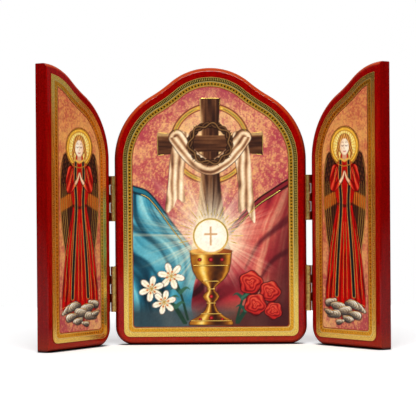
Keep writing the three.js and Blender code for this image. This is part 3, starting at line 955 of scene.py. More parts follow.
def paint_chalice(canvas, x, z):
    """A turned gold cup: its half width at each height is a smooth profile, and across it the
    light falls as on a polished cylinder."""
    z = z + CUP_RAISE
    levels = (15.5, 16.5, 18, 20, 23, 26, 28, 29.4, 31, 32.6, 34, 36, 38, 41, 45, 50, 56)
    widths = (12.4, 12.6, 11.4, 7.4, 3.6, 2.2, 2.0, 3.6, 4.6, 3.6, 2.0, 2.0, 4.2, 7.8, 10.2, 11.3, 11.8)
    half = np.interp(z, levels, widths) * 0.95
    inside = np.maximum(np.abs(x) - half, np.maximum(z - 56, 15.5 - z))
    u = x / np.maximum(half, 0.1)
    tone = 0.34 + 0.5 * np.exp(-(((u + 0.45) / 0.22) ** 2)) - 0.3 * np.exp(-(((u - 0.35) / 0.4) ** 2))
    tone += 0.22 * np.exp(-(((u - 0.88) / 0.1) ** 2)) + 0.12 * (blotches(x, z, 2, 71) - 0.5)
    gold = ramp(tone, "#2e140a", "#7a4212", "#bd7e24", "#ecc052", "#fff0bc")
    lay(canvas, cover(inside - 0.5), "#4a2210")
    lay(canvas, cover(inside), gold)
    for height in (54.6, 48.2, 39.5, 35.2, 27.4, 21.5, 17.6):
        lay(canvas, cover(np.abs(z - height) - 0.3) * cover(inside + 0.3), "#6e3a12")
    for stone_x, stone_z, wide in ((0, 51.4, 1.5), (-6.2, 51.4, 1.2), (6.2, 51.4, 1.2), (0, 31, 1.3),
                                   (0, 19.2, 1.3), (-6, 18.4, 1.0), (6, 18.4, 1.0)):
        round_stone = np.hypot(x - stone_x, (z - stone_z) * 1.1) - wide
        lay(canvas, cover(round_stone), ramp(-round_stone / wide, "#3c0608", "#a01418", "#e0504a"))
    lip = np.hypot(x / 11.8, (z - 56) / 1.9) - 1
    lay(canvas, cover(lip * 3), ramp(0.5 - u * 0.4, "#6e2f12", "#c06a2a", "#f2c868"))
    z = z - CUP_RAISE
    wafer = np.hypot(x - GLORY[0], z - GLORY[1])
    lay(canvas, cover(np.abs(wafer - 9.4) - 0.5), "#e3b45c")
    lay(canvas, cover(wafer - 8.9), ramp(0.9 - wafer / 30 + 0.1 * blotches(x, z, 2, 72), "#d9b483",
                                         "#f6e6c4", "#fffaf0"))
    mark = np.minimum(np.maximum(np.abs(x) - 0.5, np.abs(z - GLORY[1]) - 5.2),
                      np.maximum(np.abs(z - GLORY[1] - 1) - 0.5, np.abs(x) - 3.6))
    lay(canvas, cover(mark) * 0.85, "#c08a4e")


def paint_flowers(canvas, x, z):
    """Lilies on one side and roses on the other. A lily is six pointed petals about its
    heart, and a rose is rings of petals whose edges catch the light."""
    for root, tip in (((-13, 14), (-21, 39)), ((-15, 12), (-31, 32)), ((-14, 12), (-25, 25)),
                      ((14, 13), (21, 33)), ((15, 12), (31, 30)), ((14, 12), (24, 21))):
        knee = ((root[0] + tip[0]) / 2, (root[1] + tip[1]) / 2 + 2.5)
        lay(canvas, stroke(x, z, [root, knee, tip], 1.5, 1.0), "#1f3a2c")
        for way in (-1, 1):
            leaf = [knee, (knee[0] + way * 3.2, knee[1] + 2.5), (knee[0] + way * 5.5, knee[1] + 1.5)]
            lay(canvas, stroke(x, z, leaf, 2.4, 0.2), "#33604a" if way > 0 else "#23483a")
    for cx, cz, size, tilt in ((-22, 38, 6.6, 0.2), (-33, 31, 6.2, 0.7), (-26, 23.5, 5.8, -0.3)):
        turn = np.arctan2(z - cz, x - cx) + tilt
        away = np.hypot(x - cx, z - cz)
        petal = np.abs(np.cos(turn * 3)) ** 0.7 * size + 0.8
        lay(canvas, cover(away - petal - 0.45), "#6c5a4c")
        shade = 0.45 + 0.55 * away / size - 0.5 * (np.abs(np.cos(turn * 3)) < 0.25)
        shade -= 0.35 * np.exp(-((np.abs(((turn * 3 / math.pi) % 1) - 0.5) - 0.5) / 0.06) ** 2)
        lay(canvas, cover(away - petal), ramp(shade, "#8a7650", "#c8b98c", "#ece2c4", "#faf4e4"))
        for k in range(6):
            spoke = (cx + 2.4 * math.cos(k * 1.047 + 0.3), cz + 2.4 * math.sin(k * 1.047 + 0.3))
            lay(canvas, stroke(x, z, [(cx, cz), spoke], 0.35), "#b98a2c")
            lay(canvas, cover(np.hypot(x - spoke[0], z - spoke[1]) - 0.55), "#c8641e")
    for cx, cz, size, seed in ((22, 34, 6.2, 81), (32.5, 29, 5.6, 82),
                               (24.5, 22, 5.8, 83), (34.5, 18.5, 4.6, 84)):
        away = np.hypot(x - cx, z - cz)
        turn = np.arctan2(z - cz, x - cx)
        wobble = 1 + 0.07 * np.cos(5 * turn + seed)
        ring = away / wobble / size
        petals = np.abs(np.sin(ring * 9 + 1.1 * np.cos(turn * 3 + seed + ring * 4)))
        lay(canvas, cover(away - size * wobble - 0.4), "#2c060a")
        light = 0.25 + 0.55 * petals - 0.15 * ring + 0.15 * (z - cz) / size
        lay(canvas, cover(away - size * wobble), ramp(light, "#3a0408", "#861014", "#b01c1a", "#cf4630",
                                                      "#e88a66"))


def finish_canvas(canvas, x, z):
    """The fine uneven grain of ink on foil, then the sRGB paint as linear light."""
    grain = blotches(x, z, 0.55, 91) * 0.6 + blotches(x, z, 1.3, 92) * 0.4 - 0.5
    canvas = np.clip(canvas * (1 + 0.16 * grain[:, None]), 0, 1)
    return np.where(canvas <= 0.04045, canvas / 12.92, ((canvas + 0.055) / 1.055) ** 2.4)


# %% The wing picture
ANGEL_X = 26.0
ANGEL_SCALE = 1.15
ANGEL_LEVELS = ((0, 28, 74, 140), (3.65, 28, 76.5, 133.9))
HALO = (0.0, 106.5)
WING_EDGE = ((47, 54, 62, 74, 86, 96, 103), (8.6, 10.3, 11.8, 13.1, 13.7, 13.0, 10.8))
STOLE = ((2.6, 100), (3.0, 90), (2.4, 79), (3.6, 62), (4.8, 44), (5.6, 28))
PUFFS = (
    (-9.4, 22.5, 3.6, 0.5), (9.6, 24.5, 3.8, -0.3), (-4.6, 23.8, 4.6, 0.25), (4.8, 22.6, 4.8, 0.1),
    (0.2, 20.6, 5.0, -0.1), (-6.4, 19.0, 4.2, 0.2), (6.8, 18.8, 4.2, -0.15), (11.0, 19.8, 2.6, 0.2),
    (-1.6, 16.9, 3.4, 0.15), (3.6, 15.4, 2.6, -0.2),
)
PUFF_FLATNESS = 2.3


def feathers(side, z):
    """Small scales over the shoulder, a bright bar, then long flight feathers side by side,
    each dark along one edge and pale along its shaft."""
    from_edge = np.interp(z, *WING_EDGE) - side
    place_in = (from_edge / 1.3) % 1
    long_tone = 0.12 + 0.55 * np.exp(-(((place_in - 0.45) / 0.16) ** 2)) + 0.2 * place_in
    row = np.floor((z + 0.35 * side) / 2.1)
    up = (z + 0.35 * side) / 2.1 - row
    across = np.abs(((from_edge / 1.9 + 0.5 * (row % 2)) % 1) * 2 - 1)
    scale_tone = 0.75 - 0.6 * np.clip(np.hypot(across, up * 0.9), 0, 1) ** 2
    tone = np.where(z > 88, scale_tone, long_tone) + 0.15 * (blotches(side, z, 3, 8) - 0.5)
    brown = ramp(tone, "#120806", "#2c140e", "#542a18", "#8a4f28")
    lay(brown, cover(np.abs(z + 0.4 * side - 85) - 3.2, 1.0),
        ramp(tone, "#3c1408", "#9c3e10", "#d8781e", "#f0ae48"))
    return brown


def paint_wing(x, z):
    """An angel seen from the front with folded wings, hands joined, on a bank of cloud. The
    face is a plain calm oval with lowered lids."""
    height = np.clip((z - 20) / 50, 0, 1)
    canvas = mottled_ground(x + 90, z, 0.45 * height)
    lay(canvas, 0.36 * height, "#cf7a2a")
    x = (x - ANGEL_X) / ANGEL_SCALE
    z = np.interp(z, *ANGEL_LEVELS)
    side = np.abs(x)

    wing_shape = [(1.5, 95), (4, 100), (7.5, 103.5), (11, 103), (13, 96), (13.6, 86), (13, 74), (11.6, 62),
                  (9.4, 50), (8.6, 58), (6, 70), (3, 82)]
    lay(canvas, area(side, z, wing_shape, edge=1.6), "#2a120c")
    lay(canvas, area(side, z, wing_shape), feathers(side, z))

    # Halo.
    ring = np.hypot(x - HALO[0], z - HALO[1])
    spokes = 0.5 + 0.5 * np.cos(np.arctan2(z - HALO[1], x) * 28)
    lay(canvas, cover(ring - 9.6), "#6e2c10")
    lay(canvas, cover(ring - 8.8), "#e9b23c")
    lay(canvas, cover(ring - 7.7), "#b4701c")
    lay(canvas, cover(ring - 7.3), ramp(0.4 + 0.45 * spokes * (ring > 4) + 0.2 * blotches(x, z, 2, 3),
                                        "#bd781e", "#e3a636", "#f8d565", "#fff2a8"))

    # Robe: a long bell with a waist, its folds fanning from the waist down.
    robe_shape = [(0, 101), (3.2, 99.8), (6.4, 97), (7.2, 91), (6.0, 84), (4.9, 79), (7.4, 68), (10.0, 54),
                  (11.6, 40), (12.8, 28), (12.2, 22.5), (5, 21), (0, 22)]
    robe = area(side, z, robe_shape)
    fan = x / np.maximum(4.0 + (80 - z) * 0.12, 3.0)
    fold = 1 - np.abs(((fan * 3.1 + 0.9 * blotches(x, z, 12, 5) + 0.02 * z) % 1) * 2 - 1) ** 1.6
    red = ramp(0.12 + 0.68 * fold + 0.25 * (blotches(x, z, 5, 6) - 0.5) - 0.16 * np.clip(side / 12, 0, 1),
               "#3c0102", "#860103", "#b00204", "#c80604", "#d01a0c")
    lay(canvas, area(side, z, robe_shape, edge=1.4), "#3a0406")
    lay(canvas, robe, red)
    lay(canvas, stroke(side, z, [(4.6, 79.5), (0, 78.4)], 1.3), "#5c0608")

    # Dark stole down both sides, with a cream lining.
    lay(canvas, stroke(side, z, STOLE, 2.1, 2.4) * robe, "#c89a4a")
    lay(canvas, stroke(side, z, STOLE, 1.4, 1.7) * robe, "#0c161c")

    # Sleeves and joined hands.
    sleeve = [(6.3, 96), (8.0, 90.5), (7.2, 86.7), (2.6, 90.2)]
    lay(canvas, stroke(side, z, sleeve, 4.8, 2.7), "#3c0204")
    lay(canvas, stroke(side, z, sleeve, 4.0, 2.1),
        ramp(0.4 + 0.5 * np.sin(side * 1.6 + z * 0.8), "#7c0304", "#c00e0a", "#e85a3a"))
    lay(canvas, stroke(side, z, [(3.3, 88.8), (2.4, 91.4)], 0.8), "#e3b24c")
    for way in (-1, 1):
        hand = [(way * 2.7, 90), (way * 1.2, 92), (way * 0.25, 94.6)]
        lay(canvas, stroke(x, z, hand, 1.9, 1.0), "#5a2418")
        lay(canvas, stroke(x, z, hand, 1.5, 0.7), "#e9b98e" if way < 0 else "#f6cfa6")

    # Head: hair, neck, face, lowered lids.
    lay(canvas, cover(np.hypot(x / 4.5, (z - 107.6) / 5.0) * 4.5 - 4.5), "#6e3212")
    curls = 0.5 + 0.5 * np.sin(side * 5 + z * 2.2)
    lay(canvas, cover(np.hypot(x / 4.2, (z - 107.8) / 4.7) * 4.2 - 4.2),
        ramp(curls, "#8a4216", "#c27a30", "#e8b45e"))
    lay(canvas, stroke(side, z, [(3.6, 106.5), (4.5, 103.6), (3.9, 101.4)], 2.2, 1.3),
        ramp(curls, "#7c3a14", "#b86e2a", "#dca452"))
    lay(canvas, cover(np.maximum(side - 1.5, np.abs(z - 101.8) - 1.9)), "#d29a74")
    face = np.hypot(x / 2.9, (z - 106.3) / 3.9) * 2.9 - 2.9
    light = 0.75 - x * 0.09 - 0.12 * np.clip(-face, 0, 1) + 0.25 * np.clip(-face / 1.5, 0, 1)
    lay(canvas, cover(face), ramp(light, "#b4775a", "#e0ab86", "#f6d7b4", "#fff0d8"))
    lay(canvas, stroke(side, z, [(0.7, 106.9), (1.3, 106.6), (1.9, 107.0)], 0.35, 0.2) * 0.9, "#4e2416")
    lay(canvas, stroke(side, z, [(0.6, 108.2), (1.3, 108.5), (2.1, 108.1)], 0.3, 0.15) * 0.6, "#7a3c20")
    lay(canvas, stroke(x, z, [(0.15, 107.2), (0.35, 105.6), (0.0, 105.4)], 0.3, 0.3) * 0.5, "#b06a48")
    lay(canvas, stroke(x, z, [(-0.8, 104.2), (0, 104.0), (0.8, 104.2)], 0.45, 0.3) * 0.9, "#b8403a")
    lay(canvas, stroke(side, z, [(0, 99.6), (2.4, 100.6)], 1.0), "#e3b24c")

    # Cloud bank: flat rolls with pale tops, each with a curl of shade within it.
    for cx, cz, size, tilt in PUFFS:
        u = (x - cx) * math.cos(tilt) + (z - cz) * math.sin(tilt)
        v = ((z - cz) * math.cos(tilt) - (x - cx) * math.sin(tilt)) * PUFF_FLATNESS
        wobble = 0.5 * np.cos(3 * np.arctan2(v, u) + cx)
        puff = np.hypot(u, v) - size - wobble
        light = 0.45 + 0.5 * v / size + 0.16 * np.cos(np.hypot(u - 0.3 * size, v) * 4) - 0.2 * u / size
        lay(canvas, cover(puff - 0.5, 0.8), "#3c241a")
        lay(canvas, cover(puff), ramp(light, "#2e2a2c", "#5f564e", "#98836a", "#d8ccb2", "#fbf6e6"))
    return finish_canvas(canvas, x, z)


# %% Where gold lines are stamped over the print
def arc(middle, radius, start, end, flat=1.0, count=24):
    """Points along a circle between two angles in degrees, or along an ellipse."""
    angle = np.radians(np.linspace(start, end, count))
    return np.column_stack([middle[0] + radius * np.cos(angle),
                            middle[1] + radius * flat * np.sin(angle)])


def centre_lines():
    """Paths and widths in millimetres: the wafer's rim and its rays, the ring behind the
    cross, the beams' ends, the hems of the hangings and the bands of the cup."""
    lines = [(arc(GLORY, 9.4, -48, 228, count=40), 0.7)]
    for k, angle in enumerate(range(-16, 197, 8)):
        way = np.array([math.cos(math.radians(angle)), math.sin(math.radians(angle))])
        reach = (15.4, 12.9, 18.2, 12.9)[k % 4]
        lines.append((np.array(GLORY) + np.outer(np.linspace(11.4, reach, 4), way), 0.45))
    for start, end in ((18, 73), (107, 162), (-73, -47), (-133, -107)):
        lines.append((arc(CROSSING, 20.6, start, end), 0.9))
    for way in (-1, 1):
        for low in (-1, 1):
            x = np.linspace(23.6 if low > 0 else 25.4, 28.6, 5)
            lines.append((np.column_stack([way * x, CROSSING[1] + low * (4.4 + 0.0024 * x**2)]), 0.35))
        z = np.linspace(-5.6, 5.6, 6) + CROSSING[1]
        lines.append((np.column_stack([np.full(6, way * 29.0), z]), 0.35))
        z = np.linspace(132, 135.6, 5)
        lines.append((np.column_stack([way * (4.6 + 0.0018 * (z - CROSSING[1]) ** 2), z]), 0.35))
    lines.append((np.column_stack([np.linspace(-5.2, 5.2, 5), np.full(5, 136.0)]), 0.35))
    for edge, drop in ((RIGHT_HEM, 3.3), (LEFT_HEM, 3.3)):
        path = smooth_path([(x, z - drop) for x, z in edge])
        path = path[(np.abs(path[:, 0]) < 39.5) & (np.abs(path[:, 0]) > 13.5)]
        lines.append((path[::3], 0.5))
    for height, half in ((50.1, 11.0), (43.7, 9.7), (35.0, 4.3), (30.7, 1.9), (22.9, 2.6),
                         (17.0, 5.6), (13.1, 11.2)):
        lines.append((np.column_stack([np.linspace(-half, half, 6), np.full(6, height)]), 0.4))
    return lines


def wing_lines():
    """The same for the angel, in its own measure, put back on the board at the end: the halo
    and its spokes, the fine lines of the feathers, the folds, the stole and the clouds."""
    lines = [(arc(HALO, 9.2, 0, 360, count=48), 0.55)]
    for angle in range(-36, 217, 12):
        way = np.array([math.cos(math.radians(angle)), math.sin(math.radians(angle))])
        lines.append((np.array(HALO) + np.outer(np.linspace(5.9, 7.4, 3), way), 0.3))
    for way in (-1, 1):
        for inset, low, high in ((0, 52, 101), (1.3, 54, 90), (2.6, 58, 90), (3.9, 62, 90)):
            z = np.linspace(low, high, 9)
            lines.append((np.column_stack([way * (np.interp(z, *WING_EDGE) - inset), z]),
                          0.45 if inset == 0 else 0.28))
        path = np.array(STOLE)[1:]
        lines.append((np.column_stack([way * (path[:, 0] + 0.95), path[:, 1] - 0.6]), 0.3))
        for spread, top in ((0.1, 70), (0.66, 76), (0.88, 66)):
            z = np.linspace(26.5, top, 9)
            half = np.interp(z, (26, 28, 40, 54, 68, 79), (12.4, 12.6, 11.4, 9.8, 7.2, 4.6))
            lines.append((np.column_stack([way * spread * half, z]), 0.32))
        lines.append((np.array([(way * 5.2, 97), (way * 6.5, 93), (way * 6.6, 90)]), 0.3))
    for cx, cz, size, tilt in PUFFS:
        lines.append((arc((cx, cz), size, 30, 150, flat=1 / PUFF_FLATNESS, count=8), 0.3))
    out_levels, angel_levels = ANGEL_LEVELS
    return [
        (np.column_stack([ANGEL_X + path[:, 0] * ANGEL_SCALE,
                          np.interp(path[:, 1], angel_levels, out_levels)]), wide)
        for path, wide in lines
    ]


# %% The plates' bodies
def slab(name, loop, front, back):
    """A flat sheet with a given outline: a face, a wall and a back."""
    count = len(loop)
    rings = [np.column_stack([loop[:, 0], np.full(count, y), loop[:, 1]]) for y in (front, back)]
    faces = list(grid_faces(2, count, closed=True))
    faces += [np.arange(count), np.arange(count)[::-1] + count]
    return make_mesh(name, np.vstack(rings), faces)


def picture_rows(free=None):
    """Heights and half widths for the picture's rows, evenly spaced along the inner line from
    its bottom to its top. Where the line runs level at the bottom the rows go on evenly."""
    s = even_steps(0.39 * MM, **INNER_LINE)
    line = half_outline(s, **INNER_LINE, last_x=free or 0.0)
    keep = np.append(True, np.diff(line[:, 1]) > 1e-6)
    line = line[keep]
    top = (free or 0.0) + 0.3 * MM
    line = line[(line[:, 0] > top) | (line[:, 1] < SHOULDER_HEIGHT)]
    return line


def picture_film(name, paint, columns, free=None):
    """The picture as a grid: each row runs from the left edge of the picture to its right
    edge at one height. The front is the grid, and one face closes the back."""
    line = picture_rows(free)
    right, height = line.T
    left = -right
    if free is not None:
        corner = FRAME_INNER_CORNER
        drop = np.clip(PLATE_BOTTOM + FRAME_WIDTH + corner - height, 0, corner)
        left = free + corner - np.sqrt(corner**2 - drop**2)
    across = np.linspace(0, 1, columns)
    x = left[:, None] + (right - left)[:, None] * across
    z = np.broadcast_to(height[:, None], x.shape)
    rows = len(height)
    front = np.column_stack([x.ravel(), np.full(x.size, PLATE_FRONT + LINE_FILM), z.ravel()])
    index = np.arange(rows * columns).reshape(rows, columns)
    rim = np.concatenate([
        index[0, :-1], index[:-1, -1], index[-1, :0:-1], index[:0:-1, 0],
    ])
    back = front[rim] + (0, FILM, 0)
    behind = np.arange(len(rim)) + len(front)
    wall = np.stack([rim, np.roll(rim, -1), np.roll(behind, -1), behind], -1)
    faces = list(grid_faces(rows, columns)) + list(wall) + [behind]
    mesh = make_mesh(name, np.vstack([front, back]), faces)
    points = np.vstack([front, back])
    colours = np.ones((len(points), 4))
    colours[:, :3] = paint(points[:, 0] / MM, points[:, 2] / MM)
    layer = mesh.attributes.new("paint", "FLOAT_COLOR", "POINT")
    layer.data.foreach_set("color", colours.ravel())
    return mesh


LINE_CROWN = ((-1.0, 1.0), (-0.55, 0.0), (0.55, 0.0), (1.0, 1.0))


def gold_lines(name, lines):
    """Ribbons of foil over the print. Each runs along a smooth path, tapers at both ends as
    the fourth power of the way from its middle, and is slightly crowned across."""
    points, faces, count = [], [], 0
    across, down = np.array(LINE_CROWN).T
    for path, wide in lines:
        path = smooth_path(path, steps=3) * MM
        way = np.gradient(path, axis=0)
        way /= np.linalg.norm(way, axis=1)[:, None]
        along = np.linspace(-1, 1, len(path))
        half = wide * MM / 2 * (1 - 0.7 * along**4)
        x = path[:, :1] - way[:, 1:] * half[:, None] * across
        z = path[:, 1:] + way[:, :1] * half[:, None] * across
        y = np.broadcast_to(PLATE_FRONT + LINE_FILM * down, x.shape)
        points.append(np.stack([x, y, z], -1).reshape(-1, 3))
        size = len(across)
        faces += list(grid_faces(len(path), size, closed=True) + count)
        faces += [np.arange(size) + count, np.arange(size) + count + (len(path) - 1) * size]
        count += len(path) * size
    return edit_mesh(make_mesh(name, np.vstack(points), faces), lambda work: None)


# %% Make the plates
for body in BODIES:
    node = "centre_plate" if body == "centre" else f"{body}_plate"
    free = None if body == "centre" else WING_PLATE_FREE
    outer = line_at(0, free)[0][:-1]
    base_front = PLATE_FRONT + LINE_FILM + FILM
    base = slab(f"{node}_sheet", outer, base_front, PLATE_BACK)
    finish_piece(base, body, [foil], [node])
    across = np.linspace(0, 1, 7)
    lines = line_at(across, free)
    film = band_film(f"{node}_frame", lines, across * FRAME_WIDTH, base_front - FILM, base_front)
    finish_piece(film, body, [frame_foil])
    inner_free = None if free is None else free + FRAME_WIDTH
    paint = paint_centre if free is None else paint_wing
    picture = picture_film(f"{node}_picture", paint, 220 if free is None else 120, inner_free)
    finish_piece(picture, body, [picture_print])
    lines = gold_lines(f"{node}_lines", centre_lines() if free is None else wing_lines())
    finish_piece(lines, body, [foil])
    print(node, len(base.polygons), len(film.polygons), len(picture.polygons), "faces")

# %% [markdown]
# ## The brass hinges
#
# Two small butt hinges hold each wing. A leaf is a strip of brass whose end is rolled round
# the pin, notched so that the two leaves' knuckles take turns, and drilled for two
# countersunk screws. The rolled strip is a profile carried up the hinge. Its notches and
# holes are cut with boolean solids, as a press and a drill would.

# %% Hinge measures
LEAF_THICKNESS = 0.6 * MM
LEAF_FACE = 0.15 * MM
LEAF_MIDDLE = LEAF_FACE + LEAF_THICKNESS / 2
NOTCH_END = 2.25 * MM
LEAF_END = 7.85 * MM
BARREL_RADIUS = 1.6 * MM
KNUCKLES = 5
KNUCKLE_GAP = 0.15 * MM
PIN_RADIUS = 0.95 * MM
SCREW_HEAD = 1.3 * MM
SCREW_HEAD_DEPTH = 0.8 * MM
SCREW_SHANK = 0.7 * MM
SCREW_LENGTH = 7.0 * MM
SCREW_TIP = 1.4 * MM
SCREW_SPACING = 15 * MM
SCREW_BACK = 5.45 * MM
SLOT_WIDTH = 0.4 * MM
SLOT_DEPTH = 0.35 * MM


# %% Curl of the strip round the pin
def rolled_strip():
    """The strip's section in plan, p towards the board and q towards the back. Its middle line
    runs forward along the leaf, turns outwards on a small arc, and then follows a circle of
    the barrel's radius less half the strip, almost all the way round. The section is that
    line moved half a thickness to each side."""
    ring = BARREL_RADIUS - LEAF_THICKNESS / 2
    bend = 0.5 * MM
    bend_q = math.sqrt((ring + bend) ** 2 - (LEAF_MIDDLE + bend) ** 2)
    meet = math.atan2(bend_q, LEAF_MIDDLE + bend)
    small = np.linspace(math.pi, math.pi + meet, 7)
    large = np.linspace(meet, math.radians(-262), 48)
    middle = np.vstack([
        [(LEAF_MIDDLE, LEAF_END)],
        np.column_stack([np.cos(small), np.sin(small)]) * bend + (LEAF_MIDDLE + bend, bend_q),
        (np.column_stack([np.cos(large), np.sin(large)]) * ring)[1:],
    ])
    along = np.gradient(middle, axis=0)
    along[0], along[-1] = middle[1] - middle[0], middle[-1] - middle[-2]
    side = np.column_stack([-along[:, 1], along[:, 0]])
    side *= LEAF_THICKNESS / 2 / np.linalg.norm(side, axis=1)[:, None]
    return np.vstack([middle + side, (middle - side)[::-1]])


def upright(name, section, low, high):
    """A section in plan carried straight up between two heights, closed at both ends."""
    count = len(section)
    rings = [np.column_stack([section, np.full(count, z)]) for z in (low, high)]
    faces = list(grid_faces(2, count, closed=True))
    faces += [np.arange(count), np.arange(count)[::-1] + count]
    return make_mesh(name, np.vstack(rings), faces)


def turned(name, profile, sides, axis, start):
    """A turned solid: each radius of the profile becomes a ring at its distance along the
    axis, "p" or "z", from a start point. Its ends are closed by flat faces."""
    angle = np.arange(sides) * 2 * math.pi / sides
    radius, away = np.asarray(profile, float).T
    one, two = radius[:, None] * np.cos(angle), radius[:, None] * np.sin(angle)
    far = np.broadcast_to(away[:, None], one.shape)
    order = (far, one, two) if axis == "p" else (one, two, far)
    faces = list(grid_faces(len(profile), sides, closed=True))
    faces += [np.arange(sides), np.arange(sides)[::-1] + sides * (len(profile) - 1)]
    return make_mesh(name, np.stack(order, -1).reshape(-1, 3) + start, faces)


def box_mesh(low, high):
    """A block between two corners, as a cutting tool."""
    (p0, q0, z0), (p1, q1, z1) = low, high
    section = np.array([(p0, q0), (p1, q0), (p1, q1), (p0, q1)])
    return upright("tool", section, z0, z1)


# %% Cutting with solids
def carve(mesh, tools):
    """The mesh less each of the tools, by exact boolean differences."""
    body = bpy.data.objects.new("body", edit_mesh(mesh, lambda work: None))
    bpy.context.collection.objects.link(body)
    helpers = []
    for tool in tools:
        helper = bpy.data.objects.new("tool", edit_mesh(tool, lambda work: None))
        bpy.context.collection.objects.link(helper)
        cut = body.modifiers.new("cut", "BOOLEAN")
        cut.operation, cut.solver, cut.object = "DIFFERENCE", "EXACT", helper
        helpers.append(helper)
    graph = bpy.context.evaluated_depsgraph_get()
    result = bpy.data.meshes.new_from_object(body.evaluated_get(graph))
    result.name = mesh.name + "_cut"
    for thing in [body, *helpers]:
        bpy.data.objects.remove(thing)
    return edit_mesh(result, weld)


# %% Brass
# Stamped and drilled brass, barrel-polished and lacquered, then a little dulled in the seams.


def make_brass():
    material, tree, shader = new_material("tumbled_brass", Metallic=1.0, Roughness=0.3)
    place_in = add_node(tree, "ShaderNodeTexCoord").outputs["Object"]
    dull = add_node(tree, "ShaderNodeTexNoise", {"Vector": place_in, "Scale": 1 / (1.5 * MM)})
    tone = add_node(tree, "ShaderNodeValToRGB", {"Fac": dull.outputs["Fac"]})
    tone.color_ramp.elements[0].position, tone.color_ramp.elements[0].color = 0.3, rgba("#b08a4a")
    tone.color_ramp.elements[1].position, tone.color_ramp.elements[1].color = 0.7, rgba("#e0bd72")
    tree.links.new(tone.outputs["Color"], shader.inputs["Base Color"])
    return material


brass = make_brass()


# %% One leaf, one screw, one pin
def hinge_leaf(name, length, first):
    """A rolled strip with its notches and holes cut, drawn about its own pin."""
    mesh = upright(name, rolled_strip(), -length / 2, length / 2)
    pitch, reach = length / KNUCKLES, 2 * BARREL_RADIUS
    tools = []
    for i in range(1 - first, KNUCKLES, 2):
        low = -length / 2 + i * pitch - KNUCKLE_GAP / 2 - (reach if i == 0 else 0)
        high = -length / 2 + (i + 1) * pitch + KNUCKLE_GAP / 2 + (reach if i == 4 else 0)
        tools.append(box_mesh((-reach, -reach, low), (reach, NOTCH_END, high)))
    cone = SCREW_HEAD / SCREW_HEAD_DEPTH
    for z in (-SCREW_SPACING / 2, SCREW_SPACING / 2):
        profile = [(SCREW_HEAD + cone * 0.3 * MM, -0.3 * MM), (0.35 * MM, 1.0 * MM)]
        profile[1] = (SCREW_HEAD - cone * SCREW_HEAD_DEPTH * 0.5, 0.5 * SCREW_HEAD_DEPTH)
        profile += [(profile[1][0], 1.0 * MM)]
        start = (LEAF_FACE + 0.05 * MM, SCREW_BACK, z)
        tools.append(turned("hole", profile, 28, "p", start))
    return carve(mesh, tools)


def screw(name, z, turn):
    """A countersunk screw with a slotted head, its axis along p."""
    profile = [
        (SCREW_HEAD - 0.08 * MM, 0), (SCREW_HEAD, 0.06 * MM), (SCREW_SHANK, SCREW_HEAD_DEPTH),
        (SCREW_SHANK, SCREW_LENGTH - SCREW_TIP), (0.05 * MM, SCREW_LENGTH),
    ]
    mesh = turned(name, profile, 28, "p", (0, 0, 0))
    wide = 2 * SCREW_HEAD
    blade = box_mesh((-wide, -SLOT_WIDTH / 2, -wide), (SLOT_DEPTH, SLOT_WIDTH / 2, wide))
    points = np.array([vertex.co for vertex in blade.vertices])
    cosine, sine = math.cos(turn), math.sin(turn)
    spin = np.array([[1, 0, 0], [0, cosine, -sine], [0, sine, cosine]])
    blade.vertices.foreach_set("co", (points @ spin.T).ravel())
    result = carve(mesh, [blade])
    points = np.array([vertex.co for vertex in result.vertices])
    start = (LEAF_FACE + 0.05 * MM, SCREW_BACK, z)
    result.vertices.foreach_set("co", (points + start).ravel())
    return result


def hinge_pin(name, length):
    """A pin with softly domed ends."""
    dome = [(0.1, 0.0), (0.5, 0.05), (0.8, 0.13), (1.0, 0.3)]
    end = np.array(dome) * (PIN_RADIUS, 1 * MM)
    profile = np.vstack([end + (0, -length / 2), (end * (1, -1) + (0, length / 2))[::-1]])
    return turned(name, profile, 28, "z", (0, 0, 0))


# %% Set the hinges
def about_pin(mesh, centre_z):
    """From a hinge's own drawing, p towards the board, q to the back, to the board's."""
    points = np.empty(len(mesh.vertices) * 3)
    mesh.vertices.foreach_get("co", points)
    p, q, z = points.reshape(-1, 3).T
    drawn = np.column_stack([AXIS_X - p, q - AXIS_FORWARD, z + centre_z])
    mesh.vertices.foreach_set("co", drawn.ravel())
    return mesh


for side in ("left", "right"):
    for level in ("upper", "lower"):
        hinge = f"{side}_{level}_hinge"
        low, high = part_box(f"{hinge}_centre_leaf")
        centre_z, length = (low.z + high.z) / 2, high.z - low.z
        pin_low, pin_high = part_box(f"{hinge}_pin")
        pin = about_pin(hinge_pin(f"{hinge}_rod", pin_high.z - pin_low.z), centre_z)
        finish_piece(pin, "centre", [brass], [f"{hinge}_pin"], flip=side == "left")
        for part, body in (("centre", "centre"), ("wing", f"{side}_wing")):
            first = (part == "centre") == (level == "upper")
            leaf = about_pin(hinge_leaf(f"{hinge}_{part}_strip", length, first), centre_z)
            flip = side == "left"
            finish_piece(leaf, body, [brass], [f"{hinge}_{part}_leaf"], flip=flip)
            for number, offset in ((1, -1), (2, 1)):
                name = f"{hinge}_{part}_screw_{number}"
                turn = 0.9 * number + len(name) * 0.37 + (level == "upper")
                driven = about_pin(screw(f"{name}_slotted", offset * SCREW_SPACING / 2, turn), centre_z)
                finish_piece(driven, body, [brass], [name], flip=flip)
print("hinges set")

# %% [markdown]
# ## The table and the light
#
# The object stands on a white table top whose near edge is two thirds of a metre in front of
# it, and beyond that the room is dark: that edge is what the lacquer and the foil mirror. A
# long soft lamp above and in front lights the faces, and a broad one behind lights the
# table and the tops of the rounded edges.

# %% Table top
TABLE_FRONT = -0.66
TABLE_FAR = 0.3
TABLE_HALF_WIDTH = 3.0
CONTACT_REACH = 6 * MM


